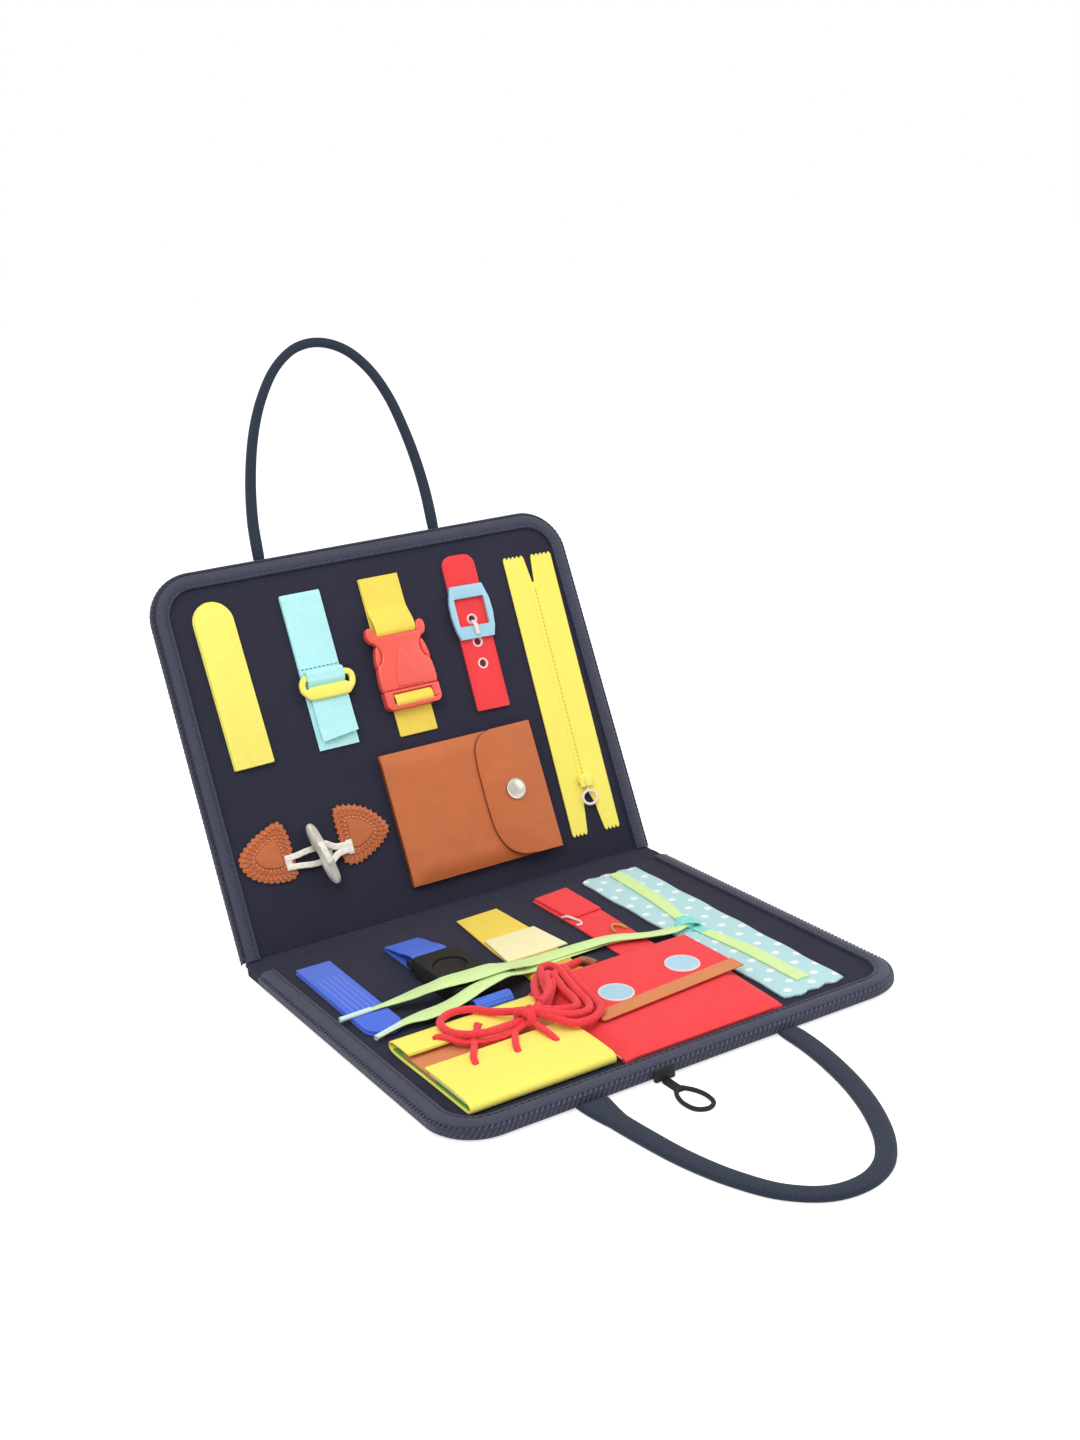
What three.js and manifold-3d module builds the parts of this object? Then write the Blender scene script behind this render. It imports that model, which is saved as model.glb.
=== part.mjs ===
// Travel busy board: two padded felt halves joined by a cloth spine, each closed by an edge zip
// half and carried by a strap handle, with practice fasteners sewn to the inner faces.
// Millimetres, +Z up. The origin is the centre of the lower half's underside, on the floor.
// X runs along the hinge and the lower half lies towards -Y.
import * as THREE from 'three';
import Module from 'manifold-3d';
import { mergeVertices } from 'three/addons/utils/BufferGeometryUtils.js';

const wasm = await Module();
wasm.setup();

// Driving dimensions of the case
const panel = { width: 280, depth: 228, corner: 28, hingeCorner: 6, hingeGap: 0.4 };
const layer = { cover: 1.2, board: 2, felt: 2 };
const binding = { wall: 1.2, face: 8.4, under: 8.1, sideThick: 1.7, round: 2.4, ridge: 0.6, ridgeWidth: 1.6 };
const edgeZip = { thick: 1.8, height: 4.6 };
const spine = { width: 20, thick: 6.9 };
const restOpening = 66.7; // degrees that the upper half stands above flat
const clear = 0.3; // gap between neighbouring pieces
const overrun = 1; // how far a cut runs past a face
const cornerSteps = 7;
const roundSteps = 20;

const halfWidth = panel.width / 2;
const coverLevel = binding.wall + clear;
const boardLevel = coverLevel + layer.cover + clear;
const feltLevel = boardLevel + layer.board + clear;
const feltTop = feltLevel + layer.felt;
const rimTop = feltTop + clear + binding.wall;
const bindingInset = edgeZip.thick + clear;
const hingeLine = panel.depth / 2;

// Where the fasteners lie along the hinge, as shares of half the panel's width: the middle of a
// piece, or its left edge where its name says so
const placeShares = {
  handles: -0.043, edgeSlider: -0.171, yellowTouch: -0.736, glide: -0.346, release: 0.029, belt: 0.421,
  zipper: 0.744, pouchLeft: -0.193, toggle: -0.561, blueTouch: -0.796, press: -0.414, yellowStrapLeft: -0.179,
  creamFlapLeft: -0.171, hookBaseLeft: 0.221, hookFlapLeft: 0.243, dottedLeft: 0.489, laced: -0.579,
  redPouchLeft: -0.264,
};

const colour = {
  navy: [0x34364a, 0.95, 0],
  trim: [0x3d3e50, 0.8, 0],
  zip: [0x44465a, 0.6, 0],
  board: [0x8c8270, 0.9, 0],
  lemon: [0xfcf47a, 0.85, 0],
  yellow: [0xfde05a, 0.8, 0],
  cyan: [0xb5f5f5, 0.8, 0],
  red: [0xff5050, 0.85, 0],
  redPlastic: [0xf35a4c, 0.4, 0],
  yellowPlastic: [0xf2ea5e, 0.4, 0],
  skyPlastic: [0xa8d8ea, 0.35, 0],
  blue: [0x4f66c8, 0.75, 0],
  lime: [0xc8f08a, 0.8, 0],
  dotted: [0xbfe4ea, 0.8, 0],
  tan: [0xc9703f, 0.55, 0],
  rust: [0xd97a4c, 0.8, 0],
  cream: [0xeee5cc, 0.85, 0],
  horn: [0xb8b4ac, 0.35, 0],
  black: [0x2c2c28, 0.35, 0],
  steel: [0xc9ccd0, 0.3, 0.9],
};

const board = new THREE.Group();

function material([hex, roughness, metalness]) {
  return new THREE.MeshStandardMaterial({ color: hex, roughness, metalness });
}

function addMesh(group, name, geometry, finish) {
  const mesh = new THREE.Mesh(geometry, material(finish));
  mesh.name = name;
  group.add(mesh);
  return mesh;
}

function addGroup(parent, x = 0, y = 0, z = 0, tilt = 0) {
  const group = new THREE.Group();
  group.position.set(x, y, z);
  group.rotation.z = THREE.MathUtils.degToRad(tilt);
  parent.add(group);
  return group;
}

// Geometry helpers
function shared(geometry) {
  const plain = geometry.clone();
  plain.deleteAttribute('normal');
  plain.deleteAttribute('uv');
  const merged = mergeVertices(plain, 1e-4);
  merged.computeVertexNormals();
  return merged;
}

function toSolid(geometry) {
  const merged = shared(geometry);
  return new wasm.Manifold(new wasm.Mesh({
    numProp: 3,
    vertProperties: new Float32Array(merged.getAttribute('position').array),
    triVerts: new Uint32Array(merged.getIndex().array),
  }));
}

function fromSolid(solid) {
  const mesh = solid.getMesh();
  const geometry = new THREE.BufferGeometry();
  geometry.setAttribute('position', new THREE.BufferAttribute(mesh.vertProperties, 3));
  geometry.setIndex(new THREE.BufferAttribute(mesh.triVerts, 1));
  geometry.computeVertexNormals();
  return geometry;
}

function cut(geometry, ...tools) {
  return fromSolid(tools.reduce((rest, tool) => rest.subtract(toSolid(tool)), toSolid(geometry)));
}

function join(geometry, ...others) {
  return fromSolid(others.reduce((all, other) => all.add(toSolid(other)), toSolid(geometry)));
}

function prism(points, bottom, height) {
  const shape = points instanceof THREE.Shape ? points : new THREE.Shape(points);
  const geometry = new THREE.ExtrudeGeometry(shape, { depth: height, bevelEnabled: false });
  geometry.translate(0, 0, bottom);
  return geometry;
}

function arcPoints(x, y, radius, from, to, steps = cornerSteps) {
  return Array.from({ length: steps + 1 }, (_, i) => {
    const angle = from + ((to - from) * i) / steps;
    return new THREE.Vector2(x + radius * Math.cos(angle), y + radius * Math.sin(angle));
  });
}

// A rectangle centred on x = 0 between two y levels, with its own corner radius at each end
function slab(width, low, high, lowRadius, highRadius = lowRadius) {
  const half = width / 2;
  const corner = (x, y, radius, from) => (radius > 0
    ? arcPoints(x - Math.sign(x) * radius, y, radius, from, from + Math.PI / 2)
    : [new THREE.Vector2(x, y)]);
  return [
    ...corner(half, low + lowRadius, lowRadius, -Math.PI / 2),
    ...corner(half, high - highRadius, highRadius, 0),
    ...corner(-half, high - highRadius, highRadius, Math.PI / 2),
    ...corner(-half, low + lowRadius, lowRadius, Math.PI),
  ];
}

function mirrored(points, away) {
  return points.map((p) => new THREE.Vector2(p.x, away * p.y));
}

function moved(points, x, y) {
  return points.map((p) => new THREE.Vector2(p.x + x, p.y + y));
}

function box(width, depth, height, x, y, bottom) {
  const geometry = new THREE.BoxGeometry(width, depth, height);
  geometry.translate(x, y, bottom + height / 2);
  return geometry;
}

function disc(radius, height, x, y, bottom, steps = roundSteps) {
  const geometry = new THREE.CylinderGeometry(radius, radius, height, steps);
  geometry.rotateX(Math.PI / 2);
  geometry.translate(x, y, bottom + height / 2);
  return geometry;
}

// A band of even thickness that follows points in the Y-Z plane and is extruded along X
function band(route, thick, width) {
  const points = route.map(([y, z]) => new THREE.Vector2(y, z));
  const side = (sign) => points.map((p, i) => {
    const before = points[Math.max(i - 1, 0)];
    const after = points[Math.min(i + 1, points.length - 1)];
    const into = p.clone().sub(before).normalize();
    const out = after.clone().sub(p).normalize();
    const along = into.add(out).normalize();
    const bend = Math.max(along.dot(i > 0 ? p.clone().sub(before).normalize() : along), 0.5);
    return new THREE.Vector2(-along.y, along.x).multiplyScalar((sign * thick) / 2 / bend).add(p);
  });
  const shape = new THREE.Shape([...side(1), ...side(-1).reverse()]);
  const geometry = new THREE.ExtrudeGeometry(shape, { depth: width, bevelEnabled: false });
  geometry.translate(0, 0, -width / 2);
  const turn = new THREE.Matrix4().makeBasis(
    new THREE.Vector3(0, 1, 0),
    new THREE.Vector3(0, 0, 1),
    new THREE.Vector3(1, 0, 0),
  );
  return geometry.applyMatrix4(turn);
}

// A closed skin through rings of points that all have the same count
function skin(rings) {
  const count = rings[0].length;
  const positions = rings.flat().flatMap((p) => [p.x, p.y, p.z]);
  const faces = [];
  for (let i = 0; i + 1 < rings.length; i += 1) {
    for (let j = 0; j < count; j += 1) {
      const next = (j + 1) % count;
      const [a, b] = [i * count + j, i * count + next];
      faces.push(a, b, b + count, a, b + count, a + count);
    }
  }
  const cap = (ring, offset, flip) => {
    const origin = ring[0];
    const across = ring[1].clone().sub(origin).normalize();
    const normal = new THREE.Vector3();
    ring.forEach((p, j) => normal.add(p.clone().sub(origin).cross(ring[(j + 1) % count].clone().sub(origin))));
    const up = normal.normalize().cross(across);
    const flat = ring.map((p) => {
      const arm = p.clone().sub(origin);
      return new THREE.Vector2(arm.dot(across), arm.dot(up));
    });
    const triangles = THREE.ShapeUtils.triangulateShape(flat, []);
    triangles.forEach(([a, b, c]) => faces.push(...(flip ? [a, c, b] : [a, b, c]).map((k) => k + offset)));
  };
  cap(rings[0], 0, true);
  cap(rings[rings.length - 1], (rings.length - 1) * count, false);
  const geometry = new THREE.BufferGeometry();
  geometry.setAttribute('position', new THREE.BufferAttribute(new Float32Array(positions), 3));
  geometry.setIndex(faces);
  if (enclosed(geometry) < 0) {
    geometry.setIndex(faces.reverse());
  }
  geometry.computeVertexNormals();
  return geometry;
}

function enclosed(geometry) {
  const at = geometry.getAttribute('position');
  const index = geometry.getIndex();
  const corner = [new THREE.Vector3(), new THREE.Vector3(), new THREE.Vector3()];
  let sum = 0;
  for (let i = 0; i < index.count; i += 3) {
    corner.forEach((p, k) => p.fromBufferAttribute(at, index.getX(i + k)));
    sum += corner[0].dot(corner[1].cross(corner[2]));
  }
  return sum / 6;
}

function tube(points, radius, steps, sides = 8) {
  const curve = new THREE.CatmullRomCurve3(points.map((p) => new THREE.Vector3(...p)), false, 'centripetal');
  const section = new THREE.Shape(arcPoints(0, 0, radius, 0, 2 * Math.PI, sides).slice(0, sides));
  return new THREE.ExtrudeGeometry(section, { steps, bevelEnabled: false, extrudePath: curve });
}

// A flat ribbon through [x, y, z, width] points, laid level across its run
function ribbon(points, thick) {
  const at = points.map(([x, y, z]) => new THREE.Vector3(x, y, z));
  return skin(at.map((p, i) => {
    const run = at[Math.min(i + 1, at.length - 1)].clone().sub(at[Math.max(i - 1, 0)]);
    const across = new THREE.Vector3(-run.y, run.x, 0).normalize().multiplyScalar(points[i][3] / 2);
    const up = new THREE.Vector3(0, 0, thick);
    const [left, right] = [p.clone().sub(across), p.clone().add(across)];
    return [left, right, right.clone().add(up), left.clone().add(up)];
  }));
}

// The three sides of a half that carry the binding and the edge zip
function rimStations(inset, away) {
  const side = halfWidth - inset;
  const far = panel.depth - inset;
  const radius = panel.corner - inset;
  const stations = [[-side, panel.hingeGap, 1, 0]];
  for (let i = 0; i <= cornerSteps; i += 1) {
    const angle = Math.PI - (Math.PI / 2) * (i / cornerSteps);
    stations.push([-side + radius + radius * Math.cos(angle), far - radius + radius * Math.sin(angle),
      -Math.cos(angle), -Math.sin(angle)]);
  }
  const other = stations.map(([x, y, nx, ny]) => [-x, y, -nx, ny]).reverse();
  return [...stations, ...other].map(([x, y, nx, ny]) => ({
    edge: new THREE.Vector2(x, away * y),
    inward: new THREE.Vector2(nx, away * ny),
  }));
}

function rimSweep(inset, away, profile) {
  return skin(rimStations(inset, away).map(({ edge, inward }) => profile.map(([reach, z]) => (
    new THREE.Vector3(edge.x + inward.x * reach, edge.y + inward.y * reach, z)))));
}

function halfOutline(inset, away) {
  const points = slab(panel.width - 2 * inset, panel.hingeGap, panel.depth - inset,
    panel.hingeCorner, panel.corner - inset);
  return mirrored(points, away);
}

// One padded half, with z = 0 on its felt face
function addHalf(group, name, away) {
  const down = -feltTop;
  const inner = bindingInset + binding.sideThick + clear;
  const belly = bindingInset + binding.under + clear;
  const coverPlate = prism(halfOutline(inner, away), down + coverLevel, layer.cover);
  const coverBelly = prism(halfOutline(belly, away), down, coverLevel + layer.cover / 2);
  addMesh(group, `${name}_cover`, join(coverPlate, coverBelly), colour.navy);
  addMesh(group, `${name}_board`, prism(halfOutline(inner, away), down + boardLevel, layer.board), colour.board);
  addMesh(group, `${name}_felt`, prism(halfOutline(inner, away), down + feltLevel, layer.felt), colour.navy);

  const top = rimTop + down;
  const crest = binding.face - binding.ridgeWidth;
  const bindingProfile = [
    [0, down + coverLevel + layer.cover],
    [0, top - binding.round],
    [binding.round / 3, top - binding.round / 3],
    [binding.round, top],
    [crest, top],
    [crest + binding.ridge / 2, top + binding.ridge],
    [binding.face - binding.ridge / 2, top + binding.ridge],
    [binding.face, top],
    [binding.face, top - binding.wall],
    [binding.sideThick, top - binding.wall],
    [binding.sideThick, down + binding.wall],
    [binding.under, down + binding.wall],
    [binding.under, down],
    [binding.round, down],
    [binding.round / 3, down + binding.round / 3],
  ];
  addMesh(group, `${name}_binding`, rimSweep(bindingInset, away, bindingProfile), colour.trim);

  const zipLow = down + (rimTop - edgeZip.height) / 2;
  const zipHigh = zipLow + edgeZip.height;
  const bulge = edgeZip.thick / 3;
  const zipProfile = [
    [bulge, zipLow],
    [0, zipLow + bulge],
    [0, zipHigh - bulge],
    [bulge, zipHigh],
    [edgeZip.thick, zipHigh],
    [edgeZip.thick, zipLow],
  ];
  addMesh(group, `${name}_zip`, rimSweep(0, away, zipProfile), colour.zip);
}

const lower = addGroup(board, 0, hingeLine, feltTop);
const spineGroup = addGroup(board, 0, hingeLine, 0);
const upper = addGroup(board, 0, hingeLine + spine.width, feltTop);
upper.rotation.x = THREE.MathUtils.degToRad(restOpening);

addHalf(lower, 'lower', -1);
addHalf(upper, 'upper', 1);
addMesh(
  spineGroup,
  'spine',
  prism(slab(panel.width - 2 * bindingInset, panel.hingeGap, spine.width - panel.hingeGap, 0), 0, spine.thick),
  colour.navy,
);

// Strap handles: soft flattened tubes sewn under the free edge of each half
const handle = {
  centre: placeShares.handles * halfWidth, span: 118, height: 132, wide: 13, thick: 4.4, bevel: 1.4,
};
const handleLevel = -feltTop + handle.thick / 2;
// Shares of half the span and of the height, from the left foot to the crown
const handleShares = [[1, 0], [1, 0.2], [0.97, 0.42], [0.85, 0.66], [0.6, 0.87], [0.3, 0.98], [0, 1]];

// Shares of the thickness, as distance from the foot and as fullness: the foot is rounded off
const footShares = [[0, 0.3], [0.07, 0.66], [0.22, 0.9], [0.5, 1]];

function handleGeometry(away, wide, thick) {
  const start = panel.depth + clear;
  const left = handleShares.map(([across, up]) => [-across * handle.span / 2, up * handle.height]);
  const right = left.slice(0, -1).reverse().map(([x, y]) => [-x, y]);
  const points = [...left, ...right].map(([x, y]) => new THREE.Vector3(x, away * (start + y), 0));
  const curve = new THREE.CatmullRomCurve3(points, false, 'centripetal');
  const ring = (p, run, fullness) => {
    const across = new THREE.Vector3(-run.y, run.x, 0).normalize();
    const [w, t] = [wide / 2, (thick / 2) * fullness];
    const b = Math.min(handle.bevel, thick / 3) * fullness;
    return [[-w, -t + b], [-w, t - b], [-w + b, t], [w - b, t], [w, t - b], [w, -t + b], [w - b, -t], [-w + b, -t]]
      .map(([a, z]) => new THREE.Vector3(p.x + across.x * a, p.y + across.y * a, z));
  };
  const foot = (side) => footShares.map(([reach, fullness]) => ring(
    new THREE.Vector3(side * handle.span / 2, away * (start + reach * thick), 0),
    new THREE.Vector3(0, -side * away, 0),
    fullness,
  ));
  const steps = 36;
  const rings = foot(-1);
  for (let i = 1; i < steps; i += 1) {
    rings.push(ring(curve.getPointAt(i / steps), curve.getTangentAt(i / steps), 1));
  }
  rings.push(...foot(1).reverse());
  return skin(rings);
}

const frontHandle = addGroup(lower, handle.centre, 0, handleLevel);
addMesh(frontHandle, 'front_handle', handleGeometry(-1, handle.wide, handle.thick), colour.navy);
// The standing handle is rolled narrower than the one that lies on the floor
const rolled = { wide: 8, thick: 6.6 };
const backHandle = addGroup(upper, handle.centre, 0, handleLevel + (rolled.thick - handle.thick) / 2);
addMesh(backHandle, 'back_handle', handleGeometry(1, rolled.wide, rolled.thick), colour.navy);

// Slider and pull loop of the edge zip, on the front edge
const edgeSlider = { x: placeShares.edgeSlider * halfWidth, long: 12, thick: 2.6, height: 7, lip: 1.1 };
const edgePull = { strap: 9, strapWide: 5.2, strapThick: 1.8, loopLong: 27, loopWide: 15, cord: 1.5 };
const zipMiddle = rimTop / 2 - feltTop;
const pullGroup = addGroup(lower, edgeSlider.x, -panel.depth, 0);
const sliderBody = box(edgeSlider.long, edgeSlider.thick, edgeSlider.height,
  0, -clear - edgeSlider.thick / 2, zipMiddle - edgeSlider.height / 2);
addMesh(pullGroup, 'edge_slider', sliderBody, colour.black);
const pullStart = -clear - edgeSlider.thick - clear;
// Shares of the loop's half width and length, round the teardrop
const loopShares = [[0.25, 0.1], [0.8, 0.35], [1, 0.62], [0.75, 0.9], [0, 1]];
const loopSide = loopShares.map(([x, y]) => [x * edgePull.loopWide / 2, y * edgePull.loopLong]);
const loopRound = [...loopSide, ...loopSide.slice(0, -1).reverse().map(([x, y]) => [-x, y])];
const loopStart = pullStart - edgePull.strap + edgePull.cord;
const loopRadius = edgePull.cord - clear;
const loopTube = tube(loopRound.map(([x, y]) => [x, loopStart - y, loopRadius - feltTop]), loopRadius, 30, 6);
const pullStrap = box(edgePull.strapWide, edgePull.strap + 2 * edgePull.cord, edgePull.strapThick,
  0, pullStart - edgePull.strap / 2 - edgePull.cord, -feltTop);
addMesh(pullGroup, 'edge_pull', join(pullStrap, loopTube), colour.black);

// Hook-and-loop strips with a rounded free end: a sewn base and a peeling top layer
function addTouchStrip(group, name, strip, away, finish) {
  const outline = mirrored(slab(strip.width, 0, strip.long, strip.corner, strip.width / 2), away);
  const topOutline = mirrored(slab(strip.width - strip.step, 0, strip.long - strip.step,
    strip.corner, (strip.width - strip.step) / 2), away);
  addMesh(group, `${name}_base`, prism(outline, clear, strip.thick), finish);
  addMesh(group, `${name}_flap`, prism(topOutline, 2 * clear + strip.thick, strip.thick), finish);
}

const touch = { long: 100, thick: 1.2, corner: 1, step: 0.8 };
const yellowTouch = { ...touch, x: placeShares.yellowTouch * halfWidth, start: 108, width: 25 };
const blueTouch = { ...touch, x: placeShares.blueTouch * halfWidth, start: 13, width: 21.5 };
const touchDegrees = 1;
const yellowGroup = addGroup(upper, yellowTouch.x, yellowTouch.start, 0, touchDegrees);
addTouchStrip(yellowGroup, 'yellow_touch', yellowTouch, 1, colour.lemon);
const blueGroup = addGroup(lower, blueTouch.x, -blueTouch.start, 0, -touchDegrees);
addTouchStrip(blueGroup, 'blue_touch', blueTouch, -1, colour.blue);

// Doubled webbing with a slide buckle: the moving tail passes over the centre bar
const glide = {
  x: placeShares.glide * halfWidth, top: 203, bottom: 108, width: 26, thick: 1, shift: 2.6, tailStep: 1,
};
const glideBuckle = { low: 139, long: 17, rail: 3, lowerBar: 6, bar: 4, barThick: 1.1, height: 6, sideGap: 0.5 };
const glideGroup = addGroup(upper, glide.x, 0, 0, 0);
const firstLayer = clear + glide.thick / 2;
const secondLayer = firstLayer + glide.thick + clear;
const foldReach = (secondLayer - firstLayer) / 2;
addMesh(glideGroup, 'glide_webbing', band([
  [glide.bottom, firstLayer],
  [glide.top - foldReach, firstLayer],
  [glide.top, (firstLayer + secondLayer) / 2],
  [glide.top - foldReach, secondLayer],
  [glideBuckle.low + glideBuckle.long / 2, secondLayer],
], glide.thick, glide.width), colour.cyan);
const tailLevel = secondLayer + glide.thick + clear;
const buckleTop = glideBuckle.low + glideBuckle.long;
const barMiddle = buckleTop - glideBuckle.bar - glide.thick;
const overBar = tailLevel + glide.thick / 2 + clear + glideBuckle.barThick + clear;
const tailLong = 25;
const glideMoving = addGroup(glideGroup, glide.shift / 2, 0, 0);
addMesh(glideMoving, 'glide_tail', band([
  [buckleTop - 2 * clear, tailLevel],
  [buckleTop - 2 * clear - glide.thick, overBar],
  [barMiddle - glideBuckle.bar / 2 - clear, overBar],
  [glideBuckle.low + glideBuckle.lowerBar + glide.thick, tailLevel],
  [glideBuckle.low - tailLong, tailLevel],
], glide.thick, glide.width - 2 * glide.tailStep), colour.cyan);
const railWidth = glide.width / 2 + glideBuckle.sideGap + glide.shift / 2;
const buckleWidth = 2 * (railWidth + glideBuckle.rail);
const lowerBarLevel = tailLevel + glide.thick / 2 + clear;
const glideRails = [1, -1].map((side) => box(glideBuckle.rail, glideBuckle.long, glideBuckle.height - clear,
  side * (railWidth + glideBuckle.rail / 2), glideBuckle.low + glideBuckle.long / 2, clear));
const lowerBar = box(buckleWidth, glideBuckle.lowerBar, glideBuckle.height - lowerBarLevel,
  0, glideBuckle.low + glideBuckle.lowerBar / 2, lowerBarLevel);
const centreBar = box(buckleWidth, glideBuckle.bar - 2 * clear, glideBuckle.barThick,
  0, barMiddle, lowerBarLevel - clear);
addMesh(glideMoving, 'glide_buckle', join(lowerBar, ...glideRails, centreBar), colour.yellowPlastic);

// Side-release buckle on yellow webbing
const release = {
  x: placeShares.release * halfWidth, seam: 133, width: 38, femaleLong: 39, maleLong: 12, height: 8, wall: 1.9,
  webWidth: 26.5, webThick: 1.2, webTop: 204, tailEnd: 105, barLong: 3.6, slotLong: 3.4, slotSide: 0.5,
  armLong: 22, armWide: 4.2, guideWide: 5, mouth: 27, maleCorner: 4, tailStep: 0.5, tailCorner: 1,
};
const guideShare = 0.75;
const releaseGroup = addGroup(upper, release.x, release.seam, 0, 0);
// Shares of half the width and of the female's length, up its right side from the seam
const femaleShares = [
  [0.97, 0], [1, 0.12], [0.97, 0.36], [0.86, 0.58], [0.74, 0.74], [0.84, 0.86], [0.98, 0.94], [0.9, 1],
];
const femaleSide = femaleShares.map(([x, y]) => new THREE.Vector2(x * release.width / 2, y * release.femaleLong));
const femaleOutline = [...femaleSide, ...femaleSide.map((p) => new THREE.Vector2(-p.x, p.y)).reverse()];
const releaseBottom = 2 * clear + release.webThick;
const releaseRise = release.height - releaseBottom;
const loopSlotLow = release.femaleLong - release.barLong - release.slotLong;
const cavity = box(release.mouth, release.armLong + 2 * overrun, releaseRise - 2 * release.wall,
  0, release.armLong / 2, releaseBottom + release.wall);
const webSlot = box(release.webWidth + 2 * release.slotSide, release.slotLong, 2 * release.height,
  0, loopSlotLow + release.slotLong / 2, -release.height / 2);
const barRelief = box(release.webWidth + 2 * release.slotSide, release.femaleLong, release.height,
  0, loopSlotLow + release.femaleLong / 2, release.height - release.webThick - 2 * clear - release.wall / 2);
const windowLong = 11;
const windowReach = 6;
const sideWindows = [1, -1].map((side) => box(windowReach, windowLong, releaseRise - 2 * release.wall,
  side * release.width / 2, release.armLong / 2 + windowLong / 3, releaseBottom + release.wall));
const female = cut(prism(femaleOutline, releaseBottom, releaseRise), cavity, webSlot, barRelief, ...sideWindows);
addMesh(releaseGroup, 'release_female', female, colour.redPlastic);

const maleTop = -clear;
const maleWide = release.width * femaleShares[0][0];
const maleOutline = slab(maleWide, -release.maleLong, maleTop, release.maleCorner, 0);
const armLevel = releaseBottom + release.wall + clear;
const armRise = releaseRise - 2 * release.wall - 2 * clear;
const maleArms = [1, -1].map((side) => box(release.armWide, release.armLong, armRise,
  side * (release.mouth / 2 - clear - release.armWide / 2), release.armLong / 2 - overrun, armLevel));
const guideLong = release.armLong * guideShare;
const maleGuide = box(release.guideWide, guideLong, armRise, 0, guideLong / 2 - overrun, armLevel);
const maleSlotLong = 6.4;
const maleSlot = box(release.webWidth, maleSlotLong, 2 * release.height,
  0, -release.maleLong + release.barLong + maleSlotLong / 2, -release.height / 2);
const male = join(cut(prism(maleOutline, releaseBottom, releaseRise), maleSlot), ...maleArms, maleGuide);
addMesh(releaseGroup, 'release_male', male, colour.redPlastic);

const webLow = clear + release.webThick / 2;
const webHigh = webLow + release.webThick + clear;
const loopTurn = loopSlotLow + release.slotLong / 2;
const loopCrest = release.height - release.webThick / 2;
const loopLean = release.webThick;
addMesh(releaseGroup, 'release_webbing', band([
  [release.webTop - release.seam, webLow],
  [loopTurn + loopLean, webLow],
  [loopTurn, webLow + loopLean],
  [loopTurn, loopCrest - loopLean],
  [loopTurn + loopLean, loopCrest],
  [release.femaleLong + loopLean, loopCrest],
  [release.femaleLong + 3 * release.barLong, webHigh + clear],
  [release.webTop - release.seam, webHigh],
], release.webThick, release.webWidth), colour.yellow);
addMesh(releaseGroup, 'release_tail', prism(
  slab(release.webWidth - 2 * release.tailStep, release.tailEnd - release.seam, clear, release.tailCorner),
  clear,
  release.webThick,
), colour.yellow);

// Belt strap with a frame buckle and a prong
const belt = {
  x: placeShares.belt * halfWidth, top: 208, bottom: 109, width: 22.5, thick: 1.8, holes: [166.5, 152, 138],
  hole: 2.5, crown: 7, corner: 1,
};
const leanDegrees = -1.6; // how far the belt and the zipper lean
const pivotShare = 0.76; // the level on the belt, as a share of its top, that its place is given at
const frameBuckle = {
  low: 154, long: 34, width: 29, window: 18, windowWide: 21, windowCorner: 1.2, lowerBar: 8, thick: 2.2,
};
const prong = { width: 2.8, thick: 1 };
const beltShift = belt.top * pivotShare * Math.sin(THREE.MathUtils.degToRad(leanDegrees));
const beltGroup = addGroup(upper, belt.x + beltShift, 0, 0, leanDegrees);
const beltOutline = slab(belt.width, belt.bottom, belt.top, belt.corner, belt.crown);
const beltHoles = belt.holes.map((y) => disc(belt.hole, belt.thick + 2 * overrun, 0, y, clear - overrun, 14));
addMesh(beltGroup, 'belt_strap', cut(prism(beltOutline, clear, belt.thick), ...beltHoles), colour.red);
const frameLevel = belt.thick + 2 * clear;
// Shares of half the width and of the length, up the frame's right side
const frameShares = [[0.8, 0], [0.93, 0.18], [1, 0.45], [0.97, 0.7], [0.78, 1]];
const frameSide = frameShares.map(([x, y]) => new THREE.Vector2(x * frameBuckle.width / 2, y * frameBuckle.long));
const frameOutline = moved([...frameSide, ...frameSide.map((p) => new THREE.Vector2(-p.x, p.y)).reverse()],
  0, frameBuckle.low);
const frameWindow = prism(moved(slab(frameBuckle.windowWide, 0, frameBuckle.window, frameBuckle.windowCorner),
  0, frameBuckle.low + frameBuckle.lowerBar), frameLevel - overrun, frameBuckle.thick + 2 * overrun);
const framePlate = prism(frameOutline, frameLevel, frameBuckle.thick);
addMesh(beltGroup, 'belt_frame', cut(framePlate, frameWindow), colour.skyPlastic);
const prongLevel = frameLevel + frameBuckle.thick + clear + prong.thick / 2;
const prongStart = frameBuckle.low + frameBuckle.lowerBar / 4;
addMesh(beltGroup, 'belt_prong', band([
  [prongStart, prongLevel],
  [frameBuckle.low + frameBuckle.lowerBar + clear, prongLevel],
  [belt.holes[0] - belt.hole / 3, belt.thick + clear],
], prong.thick, prong.width), colour.steel);

// Zipper sewn flat on the felt, open in a V at both ends
const zipper = {
  x: placeShares.zipper * halfWidth, low: 17.5, high: 200, width: 35, tape: 0.9, coil: 1.3, coilWide: 5,
  notch: 18, notchWide: 4,
};
const zipSlider = { y: 51, long: 10.5, wide: 9, rise: 2.6, wing: 1.4 };
const zipRing = { outer: 4.1, bore: 2.5, thick: 1.2, neck: 2.2 };
const zipperGroup = addGroup(upper, zipper.x, 0, 0, leanDegrees);
function notchedEnd(y, notch) {
  const [half, mouth] = [zipper.width / 2, zipper.notchWide / 2];
  const points = [[-half, y], [-mouth, y], [0, y + notch], [mouth, y], [half, y]];
  return points.map(([x, level]) => new THREE.Vector2(x, level));
}

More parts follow.
